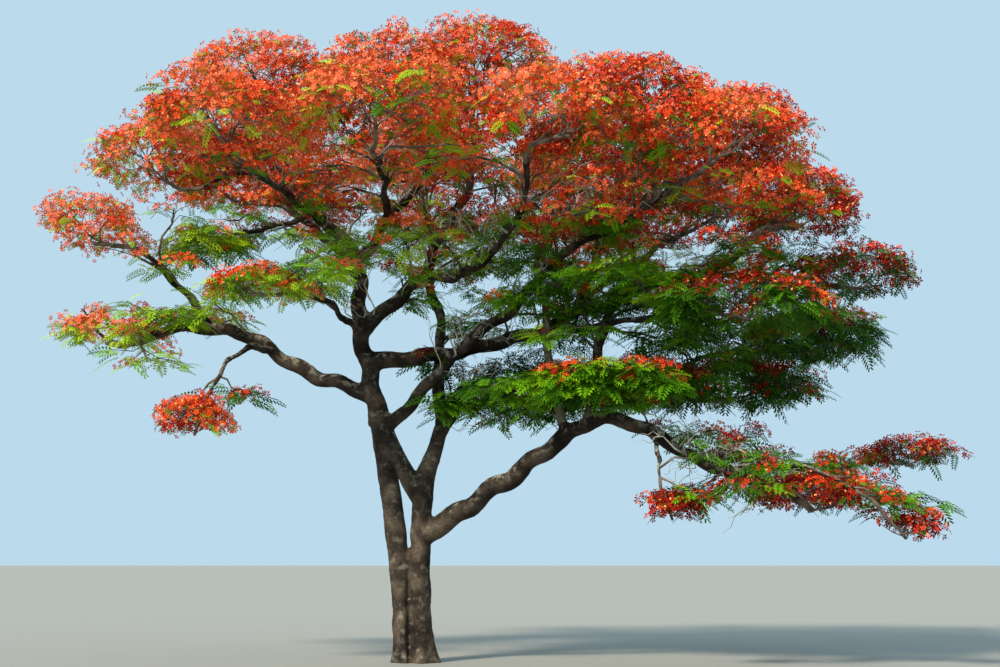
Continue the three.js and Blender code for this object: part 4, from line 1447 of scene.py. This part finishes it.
@dataclass
class Leaves:
    """Twice-feathered leaves: a thin midrib that droops, with a row of narrow feathers down each
    side."""

    length: float = 0.56
    pairs: int = 7
    width: float = 0.28
    fill: float = 0.9
    droop: float = 0.4
    fold: float = 0.16
    few: Pair = (2.8, 0.8)
    more: Pair = (5.4, 2.4)
    least: float = 0.58
    beside_darker: float = 0.08
    set_back: float = 0.03
    spacing: float = 0.045
    tilt: float = 0.75
    rise: Pair = (-0.25, 0.5)
    outward: float = 0.75
    lengths: Pair = (0.75, 1.1)
    beside_length: float = 0.85
    stalk: float = 0.1
    widest: float = 0.45
    narrowing: float = 0.75
    lean: Pair = (0.35, 0.55)
    rib_half: float = 0.006
    rib_widest: float = 0.4
    turn_stray: float = 0.3
    flattened: float = 0.35
    light_rise: float = 0.25
    light_stray: float = 0.12

    def template(self) -> Array:
        """One leaf of unit length: x along it, y across and z up, as (faces, 4, 3).

        Feathers stand at shares t of the midrib, on both sides, each a rhombus whose length is
        width · (1 - ((t - widest) / narrowing)²) and whose root and tip lie on a line that leans
        forward. The midrib is a slim rhombus.
        """
        step = (1 - self.stalk) / self.pairs
        t = self.stalk + step * (np.arange(self.pairs) + 0.5)
        reach = self.width * (1 - ((t - self.widest) / self.narrowing) ** 2)
        lean = self.lean[0] + self.lean[1] * t
        faces = []
        for hand in (1, -1):
            way = unit(np.stack([lean, np.full_like(t, hand), -np.full_like(t, self.fold)], axis=1))
            root = np.stack([t, np.zeros_like(t), np.zeros_like(t)], axis=1)
            tip = root + way * reach[:, None]
            broad = root + way * reach[:, None] * 0.5
            half = np.array([step * self.fill / 2, 0, 0])
            corners = [root, broad + half, tip, broad - half]
            faces.append(np.stack(corners if hand > 0 else corners[::-1], axis=1))
        at, half = self.rib_widest, self.rib_half
        rib = np.array([[[0, 0, 0], [at, -half, 0], [1, 0, 0], [at, half, 0]]], float)
        return np.concatenate([*faces, rib])

    def sprays(self, tips: Tips, draws: Draws) -> Shell:
        """A spray of leaves at each tip, which turn round its twig by the golden angle.

        A tip has few + more · lush leaves, by the first values where it is leafy and by the second
        where it is in bloom, and there they stand further back. The lusher the tip, the longer they are.

        Args:
            tips: The twigs' ends.
            draws: What each leaf's lean is drawn from.

        Returns:
            The leaves' faces.
        """
        many = len(tips.places)
        leafy = self.few[0] + self.more[0] * tips.lush
        beside = self.few[1] + self.more[1] * tips.lush
        counts = np.floor(np.where(tips.bloom, beside, leafy) + draws.many(many)).astype(int)
        rows = np.repeat(np.arange(many), counts)
        count = len(rows)
        order = np.arange(count) - np.repeat(np.cumsum(counts) - counts, counts)
        turn = draws.angles(many)[rows] + order * GOLDEN_TURN
        turn = turn + draws.many(count, -self.turn_stray, self.turn_stray)
        outward = tips.headings[rows] * np.array([1, 1, self.flattened])
        along = unit(around(turn, 1, draws.many(count, *self.rise)) + outward * self.outward)
        back = np.where(tips.bloom, self.set_back, 0)[rows]
        bases = tips.places[rows] - tips.headings[rows] * (back + order * self.spacing)[:, None]
        lengths = self.length * tips.sizes[rows] * draws.many(count, *self.lengths)
        lengths = lengths * (self.least + (1 - self.least) * tips.lush[rows])
        lengths = lengths * np.where(tips.bloom[rows], self.beside_length, 1)
        # Painted light: leaves that point up, and those of lighter tips, get lighter greens, and leaves
        # beside blossom a step darker ones
        light = tips.light[rows] + self.light_rise * along[:, 2]
        light = light + draws.many(count, -self.light_stray, self.light_stray)
        light = light - self.beside_darker * tips.bloom[rows]
        tones = np.clip(np.floor(light * len(LeafTone)), 0, len(LeafTone) - 1).astype(int)

        roll = draws.many(count, -self.tilt, self.tilt)[:, None]
        flat = unit(np.cross(UP, along))
        across = flat * np.cos(roll) + np.cross(along, flat) * np.sin(roll)
        axes = (along, across, np.cross(along, across))
        return scattered(self.template(), bases, lengths, axes, tones, self.droop)


@dataclass
class Blossom:
    """Clusters of open flowers of five petals, one of which is streaked on some of them."""

    flowers: int = 14
    flower_radius: float = 0.061
    cluster: Pair = (0.29, 0.17)
    petals: int = 5
    cup: float = 0.3
    petal_width: float = 0.62
    widest: float = 0.66
    root: float = 0.06
    broad_rise: float = 0.25
    spread: float = 1.25
    height_stray: float = 0.08
    lowest: float = -0.4
    depths: Pair = (0.55, 1.05)
    turned: float = 0.45
    turned_up: float = 0.2
    sizes: Pair = (0.8, 1.2)
    streaked: float = 0.3
    cluster_stray: float = 0.2
    light_rise: float = 0.25
    light_stray: float = 0.15

    def template(self) -> Array:
        """One flower of unit radius that faces +z, as (petals, 4, 3).

        A petal is a kite from the middle, widest at a share of its length, whose tip rises by cup.
        """
        out = around(spokes(self.petals), 1, 0)
        root, tip = out * self.root, out + UP * self.cup
        broad = out * self.widest + UP * self.cup * self.broad_rise
        half = np.cross(UP, out) * self.petal_width / 2
        return np.stack([root, broad - half, tip, broad + half], axis=1)

    def clusters(self, tips: Tips, draws: Draws) -> Shell:
        """A cluster at each tip in bloom.

        The k-th of n flowers stands on a flattened dome, at height 1 - spread (k + ½) / n and on a
        circle of radius √(1 - height²), and faces out of it.

        Args:
            tips: The twigs' ends.
            draws: What the flowers' places are drawn from.

        Returns:
            The petals' faces.
        """
        where = np.flatnonzero(tips.bloom)
        heads = np.repeat(np.arange(len(where)), self.flowers)
        rows = where[heads]
        order = np.tile(np.arange(self.flowers), len(where))
        count = len(rows)
        height = 1 - self.spread * (order + 0.5) / self.flowers
        height = height + draws.many(count, -self.height_stray, self.height_stray)
        height = np.clip(height, self.lowest, 1)
        turn = order * GOLDEN_TURN + draws.angles(len(where))[heads]
        dome = around(turn, np.sqrt(1 - height**2), height)
        facing = unit(tips.headings[where] * HEAD_LEAN + UP)[heads]
        east = unit(np.cross(facing, ASIDE))
        north = np.cross(facing, east)
        out = east * dome[:, :1] + north * dome[:, 1:2] + facing * dome[:, 2:]
        wide, tall = (size * tips.sizes[rows] for size in self.cluster)
        depth = draws.many(count, *self.depths)
        across = (out - facing * dome[:, 2:]) * (wide * depth)[:, None]
        centres = tips.places[rows] + across + facing * (dome[:, 2] * tall * depth)[:, None]

        jitter = np.stack([draws.many(count, -self.turned, self.turned) for _ in range(3)], axis=1)
        normal = unit(out + UP * self.turned_up + jitter)
        spin = draws.angles(count)[:, None]
        flat = unit(np.cross(normal, ASKEW))
        first = flat * np.cos(spin) + np.cross(normal, flat) * np.sin(spin)
        axes = (first, np.cross(normal, first), normal)
        sizes = self.flower_radius * draws.many(count, *self.sizes)
        # Painted light: each flower's red follows its tip's painted lightness, lighter towards the cluster's
        # top, with some random tone
        light = tips.light[where] + draws.many(len(where), -self.cluster_stray, self.cluster_stray)
        light = light[heads] + self.light_rise * dome[:, 2]
        light = light + draws.many(count, -self.light_stray, self.light_stray)
        plain = PetalTone.LIGHT + 1
        tones = np.clip(np.floor(light * plain), PetalTone.OLD, PetalTone.LIGHT).astype(int)
        every = np.repeat(tones[:, None], self.petals, axis=1)
        every[draws.many(count) < self.streaked, 0] = PetalTone.STREAKED
        return scattered(self.template(), centres, sizes, axes, every)


@dataclass
class BareTwigs:
    """Crooked, pale, leafless twigs in the open middle of the crown, two orders of them."""

    limbs: tuple[str, ...] = ("top_left", "top_middle_left", "top_middle", "front_middle_right",
                              "top_middle_right", "front_right", "right_inner", "low_right",
                              "right_shoulder", "front_middle", "back_middle_right")
    per_metre: float = 4.4
    bare: float = 0.18
    bow: Pair = (0.5, 0.3)
    rise: Pair = (-0.35, 1.1)
    ahead: float = 0.7
    lengths: Pair = (0.6, 1.5)
    radius: float = 0.013
    thickness: Pair = (0.8, 2.0)
    thick_power: int = 4
    of_bough: float = 0.5
    tip_radius: float = 0.005
    forks: int = 4
    fork_share: float = 0.55
    fork_shares: Pair = (0.25, 0.95)
    fork_rise: Pair = (-0.3, 0.9)
    fork_lengths: Pair = (0.25, 0.55)
    fork_ahead: float = 0.9
    thinnest: float = 0.004
    crook: float = 0.12

    def shell(self, lines: dict[str, LimbLine]) -> Shell:
        """Grows the twigs out of the boughs, most of them upwards.

        Args:
            lines: The boughs' centrelines.

        Returns:
            The twigs' tubes.
        """
        made = []
        for i, name in enumerate(self.limbs):
            draws, line = Draws(SEED + BARE_SEED + BARE_STEP * i), lines[name]
            limb = next(each for each in LIMBS if each.name == name)
            count = round(line.length * self.per_metre)
            share = draws.many(count, BARE_SHARES.get(name, self.bare), NEAR_TIP)
            feet, heading = line.even(share), line.heading(share)
            turn = draws.angles(count)
            out = unit(around(turn, 1, draws.many(count, *self.rise)))
            way = unit(heading * self.ahead + out)
            length = draws.many(count, *self.lengths)
            necks = feet + way * length[:, None]
            bow = unit(way + heading * self.bow[0] + UP * self.bow[1])
            bends = feet + bow * length[:, None] * 0.5
            least, more = self.thickness
            radii = self.radius * (least + more * draws.many(count) ** self.thick_power)
            radii = np.minimum(radii, tapered(limb.radii, share) * self.of_bough)
            first = Shoots(feet, bends, necks, radii, np.full(count, self.tip_radius), turn, self.crook)

            owners = np.repeat(np.arange(count), self.forks)
            total = len(owners)
            shares = draws.many(total, *self.fork_shares)
            start = first.picked(owners).at(shares)
            spin = draws.angles(total)
            side = around(spin, 1, draws.many(total, *self.fork_rise))
            reach = length[owners] * draws.many(total, *self.fork_lengths)
            ends = start + unit(side + way[owners] * self.fork_ahead) * reach[:, None]
            second = first.branched(owners, shares, ends, draws, self.fork_share, self.thinnest)
            made += [first.shell(rings=8, sides=3), second.shell(rings=5, sides=3)]
        return Shell.joined(made)


@dataclass
class Crown:
    """All the twigs, leaves and blossom, joined each kind apart."""

    lines: dict[str, LimbLine]
    leaf_pieces: tuple[str, ...] = ("leaves_left", "leaves_middle", "leaves_inner", "leaves_right")
    blossom_pieces: tuple[str, ...] = ("blossom_left", "blossom_middle", "blossom_right")
    masses: list[Mass] = field(default_factory=list)

    def grow(self) -> None:
        """Grows every mass."""
        for i, limb in enumerate(LIMBS):
            mass = Mass(limb, self.lines[limb.name], Draws(SEED + MASS_STEP * i))
            mass.grow()
            self.masses.append(mass)

    def shared(self, names: tuple[str, ...], blooming: bool) -> list[tuple[str, list[Mass]]]:
        """Deals the masses from left to right to pieces, in runs with about as many tips in each.

        Args:
            names: The pieces' names.
            blooming: Whether only the tips in bloom count.

        Returns:
            Each piece's name and masses.
        """
        ordered = sorted(self.masses, key=lambda mass: mass.limb.centre[0])
        kinds = [mass.tips.bloom for mass in ordered]
        counts = np.array([kind.sum() if blooming else len(kind) for kind in kinds])
        piece = ((np.cumsum(counts) - counts / 2) * len(names) / counts.sum()).astype(int)
        return [(name, [m for m, k in zip(ordered, piece) if k == i]) for i, name in enumerate(names)]

    def piece(self, name: str, shell: Shell, finishes: list[bpy.types.Material], slot: Slot,
              masses: list[Mass]) -> bpy.types.Object:
        """Makes a piece that stands for some masses, smooth where it is of bark.

        Args:
            name: The piece's name.
            shell: Its faces.
            finishes: Its materials.
            slot: Its material's slot.
            masses: The masses whose nodes it replaces.

        Returns:
            The piece.
        """
        item = shell.piece(name, finishes, slot is Slot.BARK)
        return kept(item, ["foliage_" + mass.limb.name for mass in masses])

    def build(self) -> list[bpy.types.Object]:
        """Makes the pieces and hides the parts that they replace."""
        young = TwigFinish().material()
        bare = TwigFinish("bare_twig_bark", "#a39a88", "#e0d9ca", 160).material()
        twigs = Shell.joined([shell for mass in self.masses for shell in mass.twigs])
        made = [
            self.piece("twigs", twigs, [young], Slot.BARK, self.masses),
            self.piece("bare_twigs", BareTwigs().shell(self.lines), [bare], Slot.BARK, []),
        ]
        for names, blooming, grown, looks, slot, step in (
            (self.leaf_pieces, False, Leaves().sprays, LEAF_FINISHES, Slot.FOLIAGE, LEAF_STEP),
            (self.blossom_pieces, True, Blossom().clusters, PETAL_FINISHES, Slot.BLOSSOM, BLOSSOM_STEP),
        ):
            finishes = [look.material() for look in looks]
            for name, masses in self.shared(names, blooming):
                tips = Tips.joined([mass.tips for mass in masses])
                shell = grown(tips, Draws(SEED + step * len(name)))
                made.append(self.piece(name, shell, finishes, slot, masses))
        return made


@dataclass
class Studio:
    """A pale floor, soft light, and the camera at the photograph's own place."""

    eye: Point = (1.556, -30.0, 1.9)
    pitch_degrees: float = 8.0
    lens_mm: float = 57.6
    sensor_mm: float = 36.0
    sight_metres: float = 1000.0
    floor_half: float = 400.0
    floor_colour: str = "#9c9a92"
    floor_roughness: float = 0.95
    sky_colour: str = "#c4e5f8"
    sky_strength: float = 0.9
    sun_colour: str = "#fff4e2"
    sun_strength: float = 4.4
    sun_degrees: float = 9.0
    sun_from: Point = (-0.55, -0.75, 0.72)

    def floor(self) -> bpy.types.Object:
        """The floor, a single plain sheet that isn't part of the tree."""
        h = self.floor_half
        corners = np.array([[-h, -h, 0], [h, -h, 0], [h, h, 0], [-h, h, 0]], float)
        material, shader = blank("matt_floor")
        set_up(shader, {"Base Color": linear(self.floor_colour), "Roughness": self.floor_roughness})
        item = Shell(corners, np.array([[0, 1, 2, 3]]), np.zeros(1)).piece("floor", [material], False)
        return item

    def build(self) -> None:
        """Sets the floor, the light and the camera."""
        self.floor()
        world = bpy.data.worlds.new("pale_sky")
        world.use_nodes = True
        set_up(world.node_tree.nodes["Background"],
               {"Color": linear(self.sky_colour), "Strength": self.sky_strength})
        bpy.context.scene.world = world
        lamp = bpy.data.lights.new("soft_sun", "SUN")
        lamp.energy, lamp.angle = self.sun_strength, math.radians(self.sun_degrees)
        lamp.color = linear(self.sun_colour)[:3]
        x, y, z = self.sun_from
        linked("soft_sun", lamp).rotation_euler = (math.atan2(math.hypot(x, y), z), 0, math.atan2(x, -y))
        lens = bpy.data.cameras.new("camera")
        lens.lens, lens.sensor_width, lens.clip_end = self.lens_mm, self.sensor_mm, self.sight_metres
        camera = linked("camera", lens)
        camera.location = self.eye
        camera.rotation_euler = (math.radians(90 + self.pitch_degrees), 0, 0)
        bpy.context.scene.camera = camera
        bpy.context.scene.view_settings.view_transform = "Standard"


def main() -> None:
    """Builds the tree and the studio, and reports each piece."""
    logging.basicConfig(level=logging.INFO, format="%(name)s: %(message)s")
    Studio().build()
    wood = Wood()
    crown = Crown(wood.lines)
    crown.grow()
    for item in wood.build() + crown.build():
        item.data.calc_loop_triangles()
        log.info("%s: %d triangles", item.name, len(item.data.loop_triangles))


if __name__ == "__main__":
    main()
